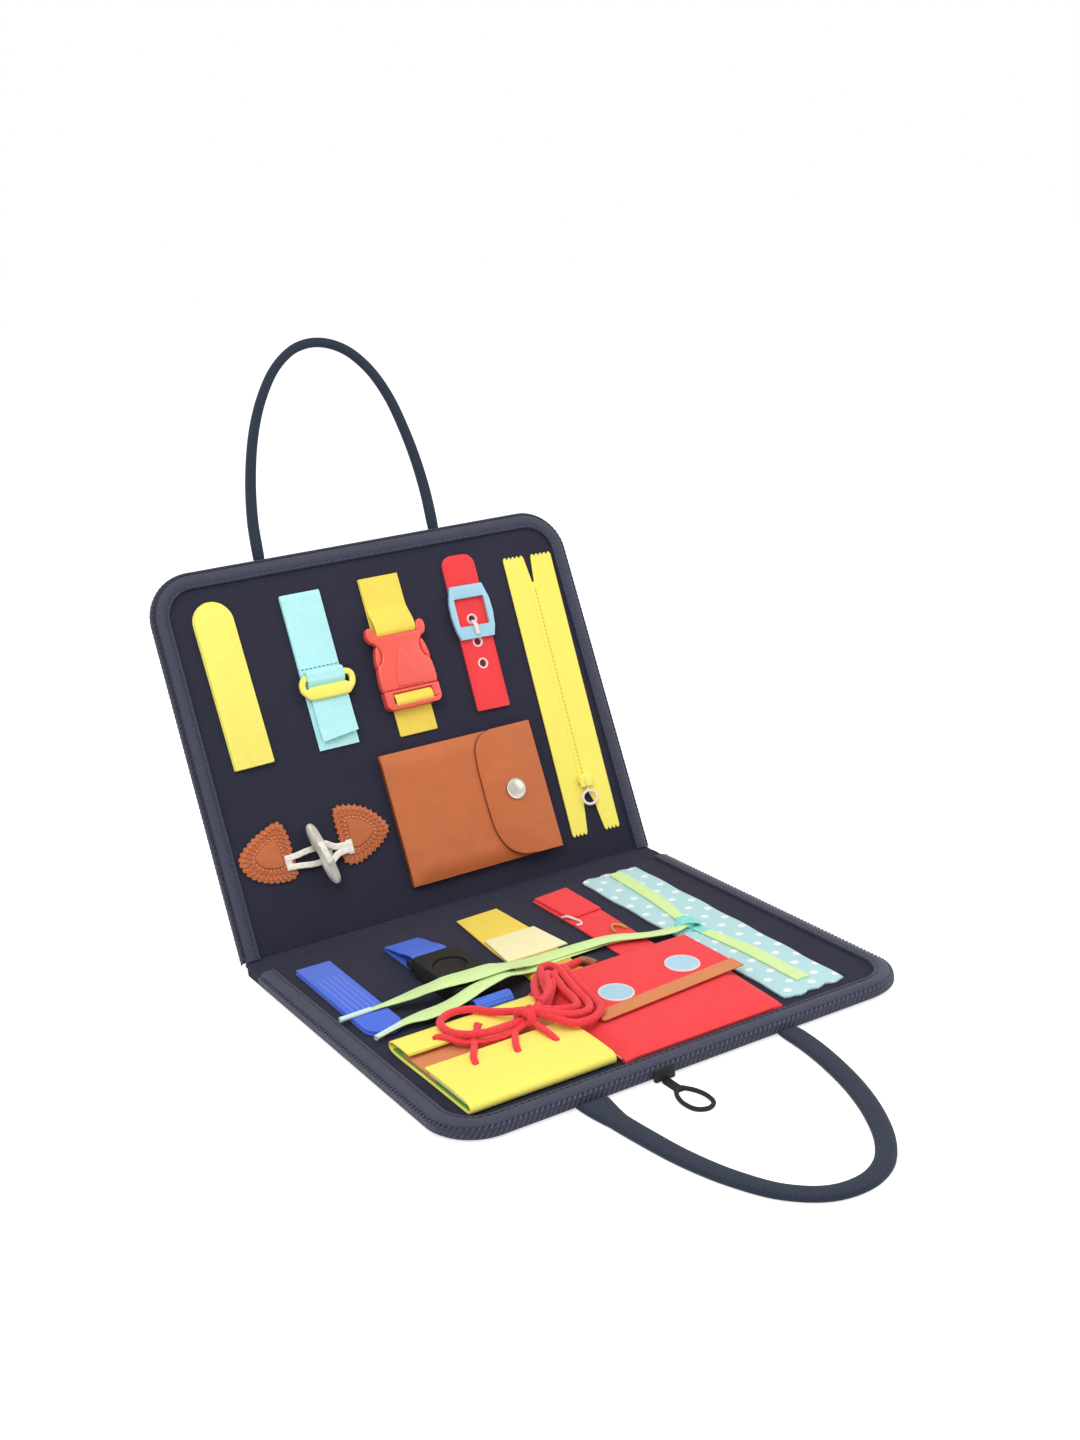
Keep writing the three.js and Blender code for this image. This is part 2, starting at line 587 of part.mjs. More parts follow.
const zipperTop = notchedEnd(zipper.high, -zipper.notch).reverse();
const zipperOutline = [...notchedEnd(zipper.low, zipper.notch), ...zipperTop];
const zipperTape = prism(zipperOutline, clear, zipper.tape);
const coilLow = zipper.low + zipper.notch + overrun;
const coilHigh = zipper.high - zipper.notch - overrun;
const coil = box(zipper.coilWide, coilHigh - coilLow, zipper.coil + zipper.tape / 2,
  0, (coilLow + coilHigh) / 2, clear + zipper.tape / 2);
addMesh(zipperGroup, 'zipper_tape', join(zipperTape, coil), colour.lemon);
const coilTop = clear + zipper.tape + zipper.coil;
const sliderTop = box(zipSlider.wide, zipSlider.long, zipSlider.rise, 0, zipSlider.y, coilTop + clear);
const wingRise = zipper.coil + zipSlider.rise / 2;
const sliderWings = [1, -1].map((side) => box(zipSlider.wing, zipSlider.long, wingRise,
  side * (zipSlider.wide - zipSlider.wing) / 2, zipSlider.y, 2 * clear + zipper.tape));
addMesh(zipperGroup, 'zipper_slider', join(sliderTop, ...sliderWings), colour.lemon);
const ringGroup = addGroup(zipperGroup, 0, zipSlider.y - zipSlider.long / 2 - clear, coilTop + clear);
const ringCentre = -zipRing.neck - zipRing.outer + clear;
const ringPlate = join(
  disc(zipRing.outer, zipRing.thick, 0, ringCentre, 0),
  box(zipRing.neck, zipRing.neck + overrun, zipRing.thick, 0, -(zipRing.neck + overrun) / 2, 0),
);
addMesh(ringGroup, 'zipper_ring', cut(ringPlate,
  disc(zipRing.bore, zipRing.thick + 2 * overrun, 0, ringCentre, -overrun)), colour.steel);

// Brown pouch: a pocket that opens to the right under a flap with a snap
const pouch = {
  left: placeShares.pouchLeft * halfWidth, width: 100, low: 15.5, high: 96.5, wall: 1, inside: 5.6, corner: 3,
};
const pouchFlap = { reach: 43, thick: 1.5 };
const snap = { inset: 20, y: 57, radius: 6.6, rise: 1.3 };
const pouchRight = pouch.left + pouch.width;
const pouchMiddle = pouch.left + pouch.width / 2;
const pouchRise = pouch.inside + 2 * pouch.wall;
const pouchOutline = moved(slab(pouch.width, pouch.low, pouch.high, pouch.corner), pouchMiddle, 0);
const pouchBox = prism(pouchOutline, clear, pouchRise);
const pouchHollow = box(pouch.width, pouch.high - pouch.low - 2 * pouch.wall, pouch.inside,
  pouchMiddle + pouch.wall, (pouch.low + pouch.high) / 2, clear + pouch.wall);
addMesh(upper, 'brown_pouch', cut(pouchBox, pouchHollow), colour.tan);
const flapLevel = pouchRise + 2 * clear;
const flapMiddle = (pouch.low + pouch.high) / 2;
const flapHalf = (pouch.high - pouch.low) / 2;
// Shares of the flap's reach and of half its height, round the free left side
const flapShares = [[1, 0], [0.99, 0.3], [0.94, 0.6], [0.84, 0.84], [0.7, 1]];
const flapOuter = pouchRight + clear + pouchFlap.thick;
const flapFree = [...flapShares.map(([x, y]) => [x, -y]).reverse(), ...flapShares.slice(1)]
  .map(([x, y]) => new THREE.Vector2(flapOuter - x * pouchFlap.reach, flapMiddle + y * flapHalf));
const flapOutline = [new THREE.Vector2(flapOuter, flapMiddle - flapHalf), ...flapFree,
  new THREE.Vector2(flapOuter, flapMiddle + flapHalf)];
const flapPlate = prism(flapOutline, flapLevel, pouchFlap.thick);
const flapRise = box(pouchFlap.thick, 2 * flapHalf, flapLevel + pouchFlap.thick / 2 - clear,
  flapOuter - pouchFlap.thick / 2, flapMiddle, clear);
addMesh(upper, 'brown_flap', join(flapPlate, flapRise), colour.tan);
addMesh(upper, 'brown_snap', disc(snap.radius, snap.rise, pouchRight - snap.inset, snap.y,
  flapLevel + pouchFlap.thick + clear), colour.steel);

// Toggle fastener: two stitched patches, a toggle bar and the cords that hold it
const toggle = { x: placeShares.toggle * halfWidth, y: 49, long: 39, radius: 3.8 };
const toggleDegrees = 13; // how far the bar leans
const cordRadius = 1.3;
const leftReach = 49.5; // from the bar to the left patch's far side
const rightReach = 13.5; // from the bar to the right patch's near side
const patchThick = 1.3;
// Shares of each patch's width and height, anticlockwise from its lower right corner
const leftPatch = { x: toggle.x - leftReach, y: 38, width: 33, height: 36 };
const leftShares = [[1, 0.04], [1, 0.78], [0.92, 1], [0, 0.55], [0.5, 0.06]];
const rightPatch = { x: toggle.x + rightReach, y: 37, width: 34, height: 37 };
const rightShares = [[0.14, 0.02], [1, 0.48], [0.5, 0.96], [0.06, 1], [0, 0.1]];

function patch(place, shares) {
  const points = shares.map(([x, y]) => new THREE.Vector2(place.x + x * place.width, place.y + y * place.height));
  return prism(points, clear, patchThick);
}

addMesh(upper, 'toggle_patch_left', patch(leftPatch, leftShares), colour.tan);
addMesh(upper, 'toggle_patch_right', patch(rightPatch, rightShares), colour.tan);
const toggleLevel = 2 * clear + 2 * cordRadius + toggle.radius;
// Shares of half the length and of the radius, from the middle of the bar to its end
const toggleShares = [[0, 0.72], [0.12, 0.74], [0.2, 1], [0.6, 0.97], [0.85, 0.8], [0.97, 0.45], [1, 0]];
const toggleSide = toggleShares.map(([along, r]) => new THREE.Vector2(r * toggle.radius, along * toggle.long / 2));
const toggleProfile = [...toggleSide.slice(1).reverse().map((p) => new THREE.Vector2(p.x, -p.y)), ...toggleSide];
const toggleGroup = addGroup(upper, toggle.x, toggle.y, toggleLevel, toggleDegrees);
addMesh(toggleGroup, 'toggle_bar', new THREE.LatheGeometry(toggleProfile, 12), colour.horn);
const cordGroup = addGroup(upper, toggle.x, toggle.y, 0, 0);
const patchTop = clear + patchThick + clear + cordRadius;
const overToggle = toggleLevel + toggle.radius * toggleShares[0][1] + clear + cordRadius;
const sewnShares = { left: 0.7, right: 0.35 }; // where each cord ends, across its patch
const leftSewn = leftPatch.x + leftPatch.width * sewnShares.left - toggle.x;
const rightSewn = rightPatch.x + rightPatch.width * sewnShares.right - toggle.x;
const strand = 2.2;
const grip = toggle.radius + cordRadius + clear;
// The left cord is one loop: out along one strand, under the toggle's waist and back along the other
addMesh(cordGroup, 'toggle_cord_left', tube([
  [leftSewn, strand, patchTop],
  [leftSewn / 2 - grip / 2, strand, patchTop],
  [-grip, strand * 0.9, cordRadius + 2 * clear],
  [0, strand * 0.8, cordRadius + clear],
  [grip * 0.8, 0, cordRadius + clear],
  [0, -strand * 0.8, cordRadius + clear],
  [-grip, -strand * 0.9, cordRadius + 2 * clear],
  [leftSewn / 2 - grip / 2, -strand, patchTop],
  [leftSewn, -strand, patchTop],
], cordRadius, 44, 6), colour.cream);
addMesh(cordGroup, 'toggle_cord_right', tube([
  [rightSewn, 0, patchTop],
  [rightSewn / 2 + grip, 0, patchTop + clear],
  [grip + strand * 2, 0, patchTop + clear],
  [grip, 0, toggleLevel],
  [toggle.radius * 0.4, 0, overToggle],
  [-toggle.radius * 0.6, 0, overToggle],
  [-grip - clear, 0, toggleLevel],
  [-grip - strand, 0, patchTop + 2 * cordRadius + clear],
], cordRadius, 30, 6), colour.cream);

// Press buckle on blue webbing: body, round button, tongue, and two sewn webbing loops
const press = {
  x: placeShares.press * halfWidth, low: -110, high: -57, width: 27, height: 11, corner: 3, buttonY: -77,
  buttonRadius: 9.4, buttonRise: 4.4, buttonSink: 0.9, travel: 2.5, webWidth: 22, webThick: 1.2,
};
const pressGroup = addGroup(lower, press.x, 0, 0, 0);
const pressBody = prism(slab(press.width, press.low, press.high, press.corner), clear, press.height - clear);
const buttonDeep = press.buttonSink + press.buttonRise + press.travel + clear;
const buttonWell = disc(press.buttonRadius + clear, buttonDeep + overrun,
  0, press.buttonY, press.height - buttonDeep);
const blade = { width: 14, thick: 1.6, inside: 18, level: 1.8, eye: 10.4 };
const bladeSlot = box(blade.width + 2 * clear, blade.inside + 2 * overrun, blade.thick + 2 * clear,
  0, press.low + blade.inside / 2, blade.level);
// The roller stands off the body's end on two arms, and the webbing loop turns round it
const rollerBar = { gap: 5, radius: 1.7, level: 6.05, armThick: 1.4, armHeight: 4, armRoot: 1.5 };
const rollerY = press.high + rollerBar.gap;
const rollerLong = press.width - rollerBar.armThick / 2;
const roller = new THREE.CylinderGeometry(rollerBar.radius, rollerBar.radius, rollerLong, 12);
roller.rotateZ(Math.PI / 2);
roller.translate(0, rollerY, rollerBar.level);
const armLong = rollerBar.gap + 2 * rollerBar.armRoot;
const rollerArmLow = rollerBar.level - rollerBar.armHeight / 2;
const rollerArms = [1, -1].map((side) => box(rollerBar.armThick, armLong, rollerBar.armHeight,
  side * (press.width - rollerBar.armThick) / 2, rollerY - rollerBar.gap / 2, rollerArmLow));
addMesh(pressGroup, 'press_body', join(cut(pressBody, buttonWell, bladeSlot), roller, ...rollerArms), colour.black);
const buttonLevel = press.height - press.buttonSink - press.buttonRise;
const button = disc(press.buttonRadius, press.buttonRise, 0, press.buttonY, buttonLevel);
addMesh(pressGroup, 'press_button', button, colour.black);
// The tongue slides in the body's end and its eye is held by a slack loop of sewn webbing
const eyeTop = press.low - 2 * clear;
const bladeLevel = blade.level + clear;
const tongueBlade = box(blade.width, blade.inside + blade.eye / 2, blade.thick,
  0, eyeTop + blade.inside / 2 - blade.eye / 4, bladeLevel);
const eyePlate = box(press.width - overrun, blade.eye, blade.thick, 0, eyeTop - blade.eye / 2, bladeLevel);
const eyeSlotLong = 6.3;
const eyeSlotStart = 1.7;
const eyeSlot = box(press.webWidth + overrun, eyeSlotLong, blade.thick * 3,
  0, eyeTop - eyeSlotStart - eyeSlotLong / 2, bladeLevel - blade.thick);
addMesh(pressGroup, 'press_tongue', cut(join(tongueBlade, eyePlate), eyeSlot), colour.black);
const webNear = clear + press.webThick / 2;
const webLapped = webNear + press.webThick + clear;

// A sewn loop of webbing: shares of its length from the turn and of its rise, ended lapped on its own start
function webLoop(turnY, long, rise, shares) {
  const route = shares.map(([along, up]) => [turnY + along * long, webNear + up * rise]);
  return band([...route, [turnY + long, webLapped]], press.webThick, press.webWidth);
}

const topLoop = { long: 34.5, turn: rollerBar.radius + press.webThick - clear / 2 };
const topRise = rollerBar.level + topLoop.turn - webNear;
const topShares = [[1, 0], [0.145, 0], [0.023, 0.09], [-0.058, 0.35], [-0.084, 0.656], [-0.058, 0.911], [0, 1],
  [0.116, 0.975], [0.464, 0.637], [0.783, 0.408]];
addMesh(pressGroup, 'press_webbing_top', webLoop(rollerY, topLoop.long, topRise, topShares), colour.blue);
const lowLoop = { long: 9.8, rise: 4.7, slack: 1.6 };
const lowShares = [
  [1, 0], [0.245, 0], [0.061, 0.149], [0, 0.447], [0.061, 0.787], [0.245, 0.979], [0.612, 1], [0.878, 0.83],
];
const lowTurn = eyeTop - eyeSlotStart - eyeSlotLong + lowLoop.slack;
const lowWebbing = webLoop(lowTurn, -lowLoop.long, lowLoop.rise, lowShares);
addMesh(pressGroup, 'press_webbing_low', lowWebbing, colour.blue);

// A flat sewn strip: its left side and the end near the hinge, and corners as shares of its width and length
function strip(place, shares, level, thick) {
  const corner = ([u, v]) => new THREE.Vector2(place.left + u * place.wide, -(place.near + v * place.long));
  return prism(shares.map(corner), level, thick);
}

const strapThick = 1.2;
const flapThick = 1.3;
const overStrap = strapThick + 2 * clear;
const yellowStrap = { left: placeShares.yellowStrapLeft * halfWidth, near: 7, wide: 37, long: 113 };
const yellowShares = [[0.22, 0.01], [0.97, 0], [1, 0.47], [0.78, 0.98], [0, 1], [0.08, 0.47]];
const creamFlap = { left: placeShares.creamFlapLeft * halfWidth, near: 47, wide: 39, long: 33 };
const creamShares = [[0.1, 0], [0.94, 0], [1, 1], [0, 1]];
addMesh(lower, 'yellow_strap', strip(yellowStrap, yellowShares, clear, strapThick), colour.yellow);
addMesh(lower, 'cream_flap', strip(creamFlap, creamShares, overStrap, flapThick), colour.cream);
const hookBase = { left: placeShares.hookBaseLeft * halfWidth, near: 9, wide: 28, long: 105 };
const hookBaseShares = [[0.07, 0.03], [1, 0], [0.93, 0.49], [0.82, 1], [0, 1], [0.07, 0.49]];
const hookFlap = { left: placeShares.hookFlapLeft * halfWidth, near: 10, wide: 24, long: 41.5 };
const hookFlapShares = [[0, 0.06], [1, 0], [0.96, 0.96], [0.04, 1]];
addMesh(lower, 'hook_strap_base', strip(hookBase, hookBaseShares, clear, strapThick), colour.red);
addMesh(lower, 'hook_strap_flap', strip(hookFlap, hookFlapShares, overStrap, flapThick), colour.red);
const dotted = { left: placeShares.dottedLeft * halfWidth, near: 7, wide: 41.5, long: 202, thick: 1.4 };
const dottedShares = [[0.08, 0], [1, 0], [0.95, 0.51], [0.89, 1], [0, 1], [0.04, 0.51]];
addMesh(lower, 'dotted_strip', strip(dotted, dottedShares, clear, dotted.thick), colour.dotted);

// Lime ribbon along the dotted strip, knotted in the middle, with two tails that lie loose
const lace = { wide: 9, pinched: 6.3, thick: 0.9, knotWide: 15, knotLong: 14, knotRise: 5 };
const ribbonLevel = clear + dotted.thick + clear;
// Shares of the dotted strip's width and length, for the knot and for the ribbon sewn along the strip
const knotShares = [0.28, 0.48];
const ribbonShares = [[0.61, 0.015], [0.52, 0.26], [0.37, 0.45], [0.37, 0.51], [0.47, 0.71], [0.47, 0.945]];
const onDotted = ([u, v]) => [dotted.left + u * dotted.wide, -(dotted.near + v * dotted.long)];
const [knotX, knotY] = onDotted(knotShares);
const limeRibbon = ribbon(ribbonShares.map((share, i) => (
  [...onDotted(share), ribbonLevel, i === 2 || i === 3 ? lace.pinched : lace.wide])), lace.thick);
const limeKnot = new THREE.SphereGeometry(lace.knotWide / 2, 12, 8);
limeKnot.scale(1, lace.knotLong / lace.knotWide, lace.knotRise / lace.knotWide);
limeKnot.translate(knotX, knotY, ribbonLevel + lace.knotRise / 2);
const upperTail = [
  [80, -105, 4.4, 4], [68, -109, 4.6, 5], [52, -104, 4.2, 7], [35, -96, 4.4, 9], [16, -91, 3.2, 10],
  [-4, -89, 3.2, 10], [-22, -90, 4.6, 11], [-36, -91, 9.4, 12], [-44, -91, 12.2, 13], [-60, -90, 12.6, 14],
  [-76, -88, 12.2, 12], [-86, -86, 7.4, 10], [-96, -87, 4.4, 6], [-106, -88, 3.8, 4], [-132, -91, 3.8, 3],
];
const lowerTail = [
  [80, -103, 3.4, 4], [66, -103, 3, 5], [50, -98, 2.6, 6], [34, -93.5, 2.6, 7], [16, -92.5, 2, 8],
  [-4, -94, 2, 8], [-22, -98, 2.1, 8], [-34, -104, 3.4, 9], [-44, -108, 12.6, 9], [-60, -109, 13, 9],
  [-74, -111, 12.6, 10], [-84, -114, 6, 12], [-96, -118, 3.6, 11], [-108, -120, 3.8, 6], [-127, -124, 3.6, 3],
];
const limeTails = [ribbon(upperTail, lace.thick), ribbon(lowerTail, lace.thick)];
addMesh(lower, 'lime_lace', join(limeKnot, limeRibbon, ...limeTails), colour.lime);

// Laced panel: a folded sheet with two rows of holes, a tongue, the held lace and its bow
const laced = {
  x: placeShares.laced * halfWidth, rear: 128, front: 213.5, wide: 82, thick: 1.2, rise: 7.4, rearLip: 151,
  frontLip: 168, hole: 2.8, tongueLong: 36, tongueThick: 0.7, tongueStep: 1,
};
const cord = 2; // radius of the free lace
const heldCord = 1.5; // radius of the lace where the holes pinch it
// Shares of the panel's width from its middle, and of each folded part from its lip to its fold
const rearShares = [[-0.27, 0.35], [0.02, 0.3], [0.32, 0.26]];
const frontShares = [[-0.24, 0.29], [0.04, 0.33], [0.3, 0.37]];
const laceRow = (shares, lip, fold) => shares.map(([across, back]) => (
  [laced.x + across * laced.wide, lip + back * (fold - lip)]));
const rearRow = laceRow(rearShares, laced.rearLip, laced.rear);
const frontRow = laceRow(frontShares, laced.frontLip, laced.front);
const lacedLow = clear + laced.thick / 2;
const lacedHigh = laced.rise - laced.thick / 2;
const foldRound = 2;
const lacedSheet = band([
  [-laced.rearLip, lacedHigh],
  [-laced.rear - foldRound, lacedHigh],
  [-laced.rear - foldRound / 3, lacedHigh - foldRound * 0.6],
  [-laced.rear - foldRound / 3, lacedLow + foldRound * 0.6],
  [-laced.rear - foldRound, lacedLow],
  [-laced.front + foldRound, lacedLow],
  [-laced.front + foldRound / 3, lacedLow + foldRound * 0.6],
  [-laced.front + foldRound / 3, lacedHigh - foldRound * 0.6],
  [-laced.front + foldRound, lacedHigh],
  [-laced.frontLip, lacedHigh],
], laced.thick, laced.wide);
lacedSheet.translate(laced.x, 0, 0);
const laceHoles = [...rearRow, ...frontRow].map(([u, v]) => (
  disc(laced.hole, laced.thick + 2 * overrun, u, -v, lacedHigh - laced.thick / 2 - overrun, 12)));
addMesh(lower, 'lace_panel', cut(lacedSheet, ...laceHoles), colour.lemon);
addMesh(lower, 'lace_tongue', box(laced.wide - 2 * laced.tongueStep, laced.tongueLong, laced.tongueThick,
  laced.x, -(laced.rearLip + laced.frontLip) / 2, lacedLow + laced.thick / 2 + clear), colour.rust);
const underPanel = lacedHigh - laced.thick / 2 - clear - heldCord;
const barLevel = laced.rise + clear + heldCord;
const barDip = 3;
const lipMiddle = -(laced.rearLip + laced.frontLip) / 2;
const crossing = rearRow.map(([u, v], i) => [[u, v], frontRow[i]]);
const lacePath = [];
crossing.forEach(([[ru, rv], [fu, fv]], i) => {
  const across = [[ru, -rv + 2.4, underPanel], [ru, -rv, lacedHigh], [ru, -rv - 2.4, barLevel],
    [(ru * 2 + fu) / 3, -laced.rearLip - clear, barLevel], [(ru + fu) / 2, lipMiddle, barLevel - barDip],
    [(ru + fu * 2) / 3, -laced.frontLip + clear, barLevel], [fu, -fv + 2.4, barLevel], [fu, -fv, lacedHigh],
    [fu, -fv - 2.4, underPanel]];
  const run = i % 2 === 0 ? across : across.reverse();
  if (i > 0) {
    const last = lacePath[lacePath.length - 1];
    lacePath.push([(last[0] * 2 + run[0][0]) / 3, last[1], underPanel]);
    lacePath.push([(last[0] + run[0][0] * 2) / 3, run[0][1], underPanel]);
  }
  lacePath.push(...run);
});
addMesh(lower, 'lace_stitching', tube(lacePath, heldCord, 110, 8), colour.red);
const bowPath = [
  [11, -117, 4.2], [8, -108, 4.4], [-4, -110, 5], [-14, -118, 9.4], [-24, -130, 11.6], [-36, -146, 12],
  [-47, -157, 11.2], [-58, -160, 10.2], [-68, -162, 11.2], [-79, -163, 11.4], [-92, -157, 11], [-97, -146, 10.2],
  [-95, -134, 9.9], [-86, -128.5, 9.9], [-76, -131, 9.9], [-69, -141, 10.2], [-63, -152, 12.6], [-57, -160, 14.6],
  [-52, -170, 13.8], [-44, -181, 11.4], [-34, -183, 11.6], [-25, -177, 12], [-21, -164, 11.8], [-18, -146, 11.6],
  [-14, -128, 11.4], [-12, -116, 8.6], [-20, -111.5, 7], [-29, -119, 8], [-37, -131, 10.2], [-43, -146, 10],
];
addMesh(lower, 'lace_bow', tube(bowPath, cord, 76, 8), colour.red);

// Red pouch: a pocket that opens towards the hinge under a flap with a trim strip and two snaps
const redPouch = {
  left: placeShares.redPouchLeft * halfWidth, width: 103, rear: 123, edgeGap: 11.5,
  wall: 0.9, inside: 4.4, corner: 2,
};
const redFlap = {
  inset: 9, thick: 1.1, longLeft: 53, longRight: 45, trimLong: 11, trimThick: 0.9, trimOver: 3,
};
const redSnap = { radius: 8.6, rise: 0.9 };
// Shares of the flap's width and of its length on the left
const snapShares = [[0.245, 0.7], [0.745, 0.57]];
const redFront = panel.depth - redPouch.edgeGap;
const redRight = redPouch.left + redPouch.width;
const redMiddle = redPouch.left + redPouch.width / 2;
const redRise = redPouch.inside + 2 * redPouch.wall;
const redOutline = moved(slab(redPouch.width, -redFront, -redPouch.rear, redPouch.corner), redMiddle, 0);
const redBox = prism(redOutline, clear, redRise);
const redHollow = box(redPouch.width - 2 * redPouch.wall, redFront - redPouch.rear, redPouch.inside,
  redMiddle, -(redFront + redPouch.rear) / 2 + redPouch.wall, clear + redPouch.wall);
addMesh(lower, 'red_pouch', cut(redBox, redHollow), colour.red);
const redFlapLevel = redRise + 2 * clear;
const flapBack = -redPouch.rear + clear + redFlap.thick;
const flapLeft = redPouch.left + redFlap.inset;
const flapWide = redRight - flapLeft;
const flapEdge = (back) => [new THREE.Vector2(flapLeft, -(redPouch.rear + redFlap.longLeft - back)),
  new THREE.Vector2(redRight, -(redPouch.rear + redFlap.longRight - back))];
const flapRear = [new THREE.Vector2(redRight, flapBack), new THREE.Vector2(flapLeft, flapBack)];
const redPlate = prism([...flapEdge(0), ...flapRear], redFlapLevel, redFlap.thick);
const redBack = box(flapWide, redFlap.thick, redFlapLevel + redFlap.thick / 2 - clear,
  flapLeft + flapWide / 2, flapBack - redFlap.thick / 2, clear);
addMesh(lower, 'red_flap', join(redPlate, redBack), colour.red);
const trimLevel = redFlapLevel + redFlap.thick + clear;
const trimOutline = [...flapEdge(redFlap.trimOver), ...flapEdge(redFlap.trimOver - redFlap.trimLong).reverse()];
addMesh(lower, 'red_trim', prism(trimOutline, trimLevel, redFlap.trimThick), colour.rust);
snapShares.forEach(([across, along], i) => {
  const snapX = flapLeft + across * flapWide;
  const snapY = -(redPouch.rear + along * redFlap.longLeft);
  const cap = disc(redSnap.radius, redSnap.rise, snapX, snapY, trimLevel);
  addMesh(lower, `red_snap_${i + 1}`, cap, colour.skyPlastic);
});

export default board;
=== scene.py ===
"""Travel busy board: two padded felt halves that stand open, with fasteners and laces sewn inside."""

import math

import bmesh
import bpy
from bpy.props import FloatProperty, FloatVectorProperty, PointerProperty
from bpy.types import Operator, Panel, PropertyGroup
from mathutils import Matrix, Vector


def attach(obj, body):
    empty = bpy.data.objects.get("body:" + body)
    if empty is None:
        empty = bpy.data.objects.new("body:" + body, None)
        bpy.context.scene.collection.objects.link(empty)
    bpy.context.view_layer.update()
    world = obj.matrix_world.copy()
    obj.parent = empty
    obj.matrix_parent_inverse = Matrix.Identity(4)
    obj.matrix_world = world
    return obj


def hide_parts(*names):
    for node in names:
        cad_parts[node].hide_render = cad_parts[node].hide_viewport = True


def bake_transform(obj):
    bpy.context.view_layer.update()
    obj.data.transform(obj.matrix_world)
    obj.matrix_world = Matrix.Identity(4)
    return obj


bl_info = {
    "name": "Travel Busy Board",
    "version": (1, 0, 0),
    "blender": (4, 5, 0),
    "location": "View3D > Sidebar > Busy Board",
    "description": "Builds a felt travel busy board around its packed frame",
    "category": "Object",
}

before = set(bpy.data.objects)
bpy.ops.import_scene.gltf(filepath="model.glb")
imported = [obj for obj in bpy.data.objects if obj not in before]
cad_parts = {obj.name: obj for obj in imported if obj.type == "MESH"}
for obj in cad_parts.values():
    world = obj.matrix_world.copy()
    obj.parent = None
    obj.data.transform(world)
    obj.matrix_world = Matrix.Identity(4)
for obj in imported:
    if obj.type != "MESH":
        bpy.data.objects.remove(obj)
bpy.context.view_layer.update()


# Sizes are in millimetres. A piece is made on its half: x runs along the hinge, y across it, and z up from
# the felt's face, which is at 0.

MM = 0.001
FELT_TOP = 7.3
REST_DEGREES = 66.7
HINGE_Y = 114.0
HINGE_GAP = 0.4
SPINE_WIDTH = 20.0
LOWER = Matrix.Translation((0, HINGE_Y * MM, FELT_TOP * MM)) @ Matrix.Scale(MM, 4)
UPPER = (
    Matrix.Translation((0, (HINGE_Y + SPINE_WIDTH) * MM, FELT_TOP * MM))
    @ Matrix.Rotation(math.radians(REST_DEGREES), 4, "X")
    @ Matrix.Scale(MM, 4)
)
FLOOR = Matrix.Translation((0, HINGE_Y * MM, 0)) @ Matrix.Scale(MM, 4)
HALVES = (("lower", LOWER, -1), ("upper", UPPER, 1))
LEAN_DEGREES = -1.6
LEVEL = Vector((0, 0, 1))


def placed(half, x, y, z=0.0, degrees=0.0):
    """A place on a half, turned about its own upright"""
    return half @ Matrix.Translation((x, y, z)) @ Matrix.Rotation(math.radians(degrees), 4, "Z")


def linear(hex_colour):
    """The linear colour of an sRGB hex value"""
    parts = [(hex_colour >> shift & 255) / 255 for shift in (16, 8, 0)]
    return [p / 12.92 if p <= 0.04045 else ((p + 0.055) / 1.055) ** 2.4 for p in parts]


class BusyCase(PropertyGroup):
    """Sizes of the padded case"""
    width: FloatProperty(
        name="Width", description="Length of a half along the hinge", default=0.28, unit="LENGTH")
    depth: FloatProperty(
        name="Depth", description="Size of a half square to the hinge", default=0.228, unit="LENGTH")
    corner: FloatProperty(
        name="Corner", description="Radius of a half's outer corners", default=0.028, unit="LENGTH")
    binding: FloatProperty(
        name="Binding", description="Width of the bound edge", default=0.0084, unit="LENGTH")
    coil: FloatProperty(
        name="Coil pitch", description="Spacing of the edge zip's coil", default=0.003, unit="LENGTH")


class BusyColours(PropertyGroup):
    """Colours of the fabrics and the leather"""
    navy: FloatVectorProperty(
        name="Felt", description="Felt of the case", subtype="COLOR", default=linear(0x303040))
    trim: FloatVectorProperty(
        name="Binding", description="Bound edges", subtype="COLOR", default=linear(0x34374C))
    red: FloatVectorProperty(
        name="Red felt", description="Red pouch and straps", subtype="COLOR", default=linear(0xF6474B))
    lemon: FloatVectorProperty(
        name="Lemon felt", description="Zipper and laced panel", subtype="COLOR",
        default=linear(0xFFF370))
    tan: FloatVectorProperty(
        name="Tan leather", description="Pouch and its flap", subtype="COLOR", default=linear(0xC46A38))
    lime: FloatVectorProperty(
        name="Lime ribbon", description="Ribbon and its tails", subtype="COLOR", default=linear(0xDAF7A8))


class BusyStage(PropertyGroup):
    """Light and view"""
    sky: FloatProperty(
        name="Sky light", description="Strength of the even light", default=0.6, min=0.0,
        subtype="FACTOR")
    key: FloatProperty(
        name="Key light", description="Power of the large soft lamp", default=12.0, min=0.0, unit="POWER")
    lens: FloatProperty(
        name="Lens", description="Focal length for the photograph's framing", default=45.55, min=10.0,
        unit="CAMERA")


# Materials
# A pattern's scale is one over its real size, in metres on Object coordinates and in millimetres on a
# piece's own map. A wave at scale 1 repeats every WAVE_PERIOD.

WAVE_PERIOD = math.pi / 10
MIX_SHARE, MIX_A, MIX_B, MIXED = 0, 6, 7, 2


def add(tree, kind, output=None, inputs=None, **settings):
    """Adds one node with its settings, fills or links its inputs, and returns one output or the node"""
    node = tree.nodes.new(kind)
    for key, value in settings.items():
        setattr(node, key, value)
    for key, value in (inputs or {}).items():
        if isinstance(value, bpy.types.NodeSocket):
            tree.links.new(value, node.inputs[key])
        else:
            node.inputs[key].default_value = value
    return node if output is None else node.outputs[output]


def rgba(colour):
    """A colour with full alpha, from an sRGB hex value or from a property, which is linear already"""
    return (*(linear(colour) if isinstance(colour, int) else colour), 1.0)


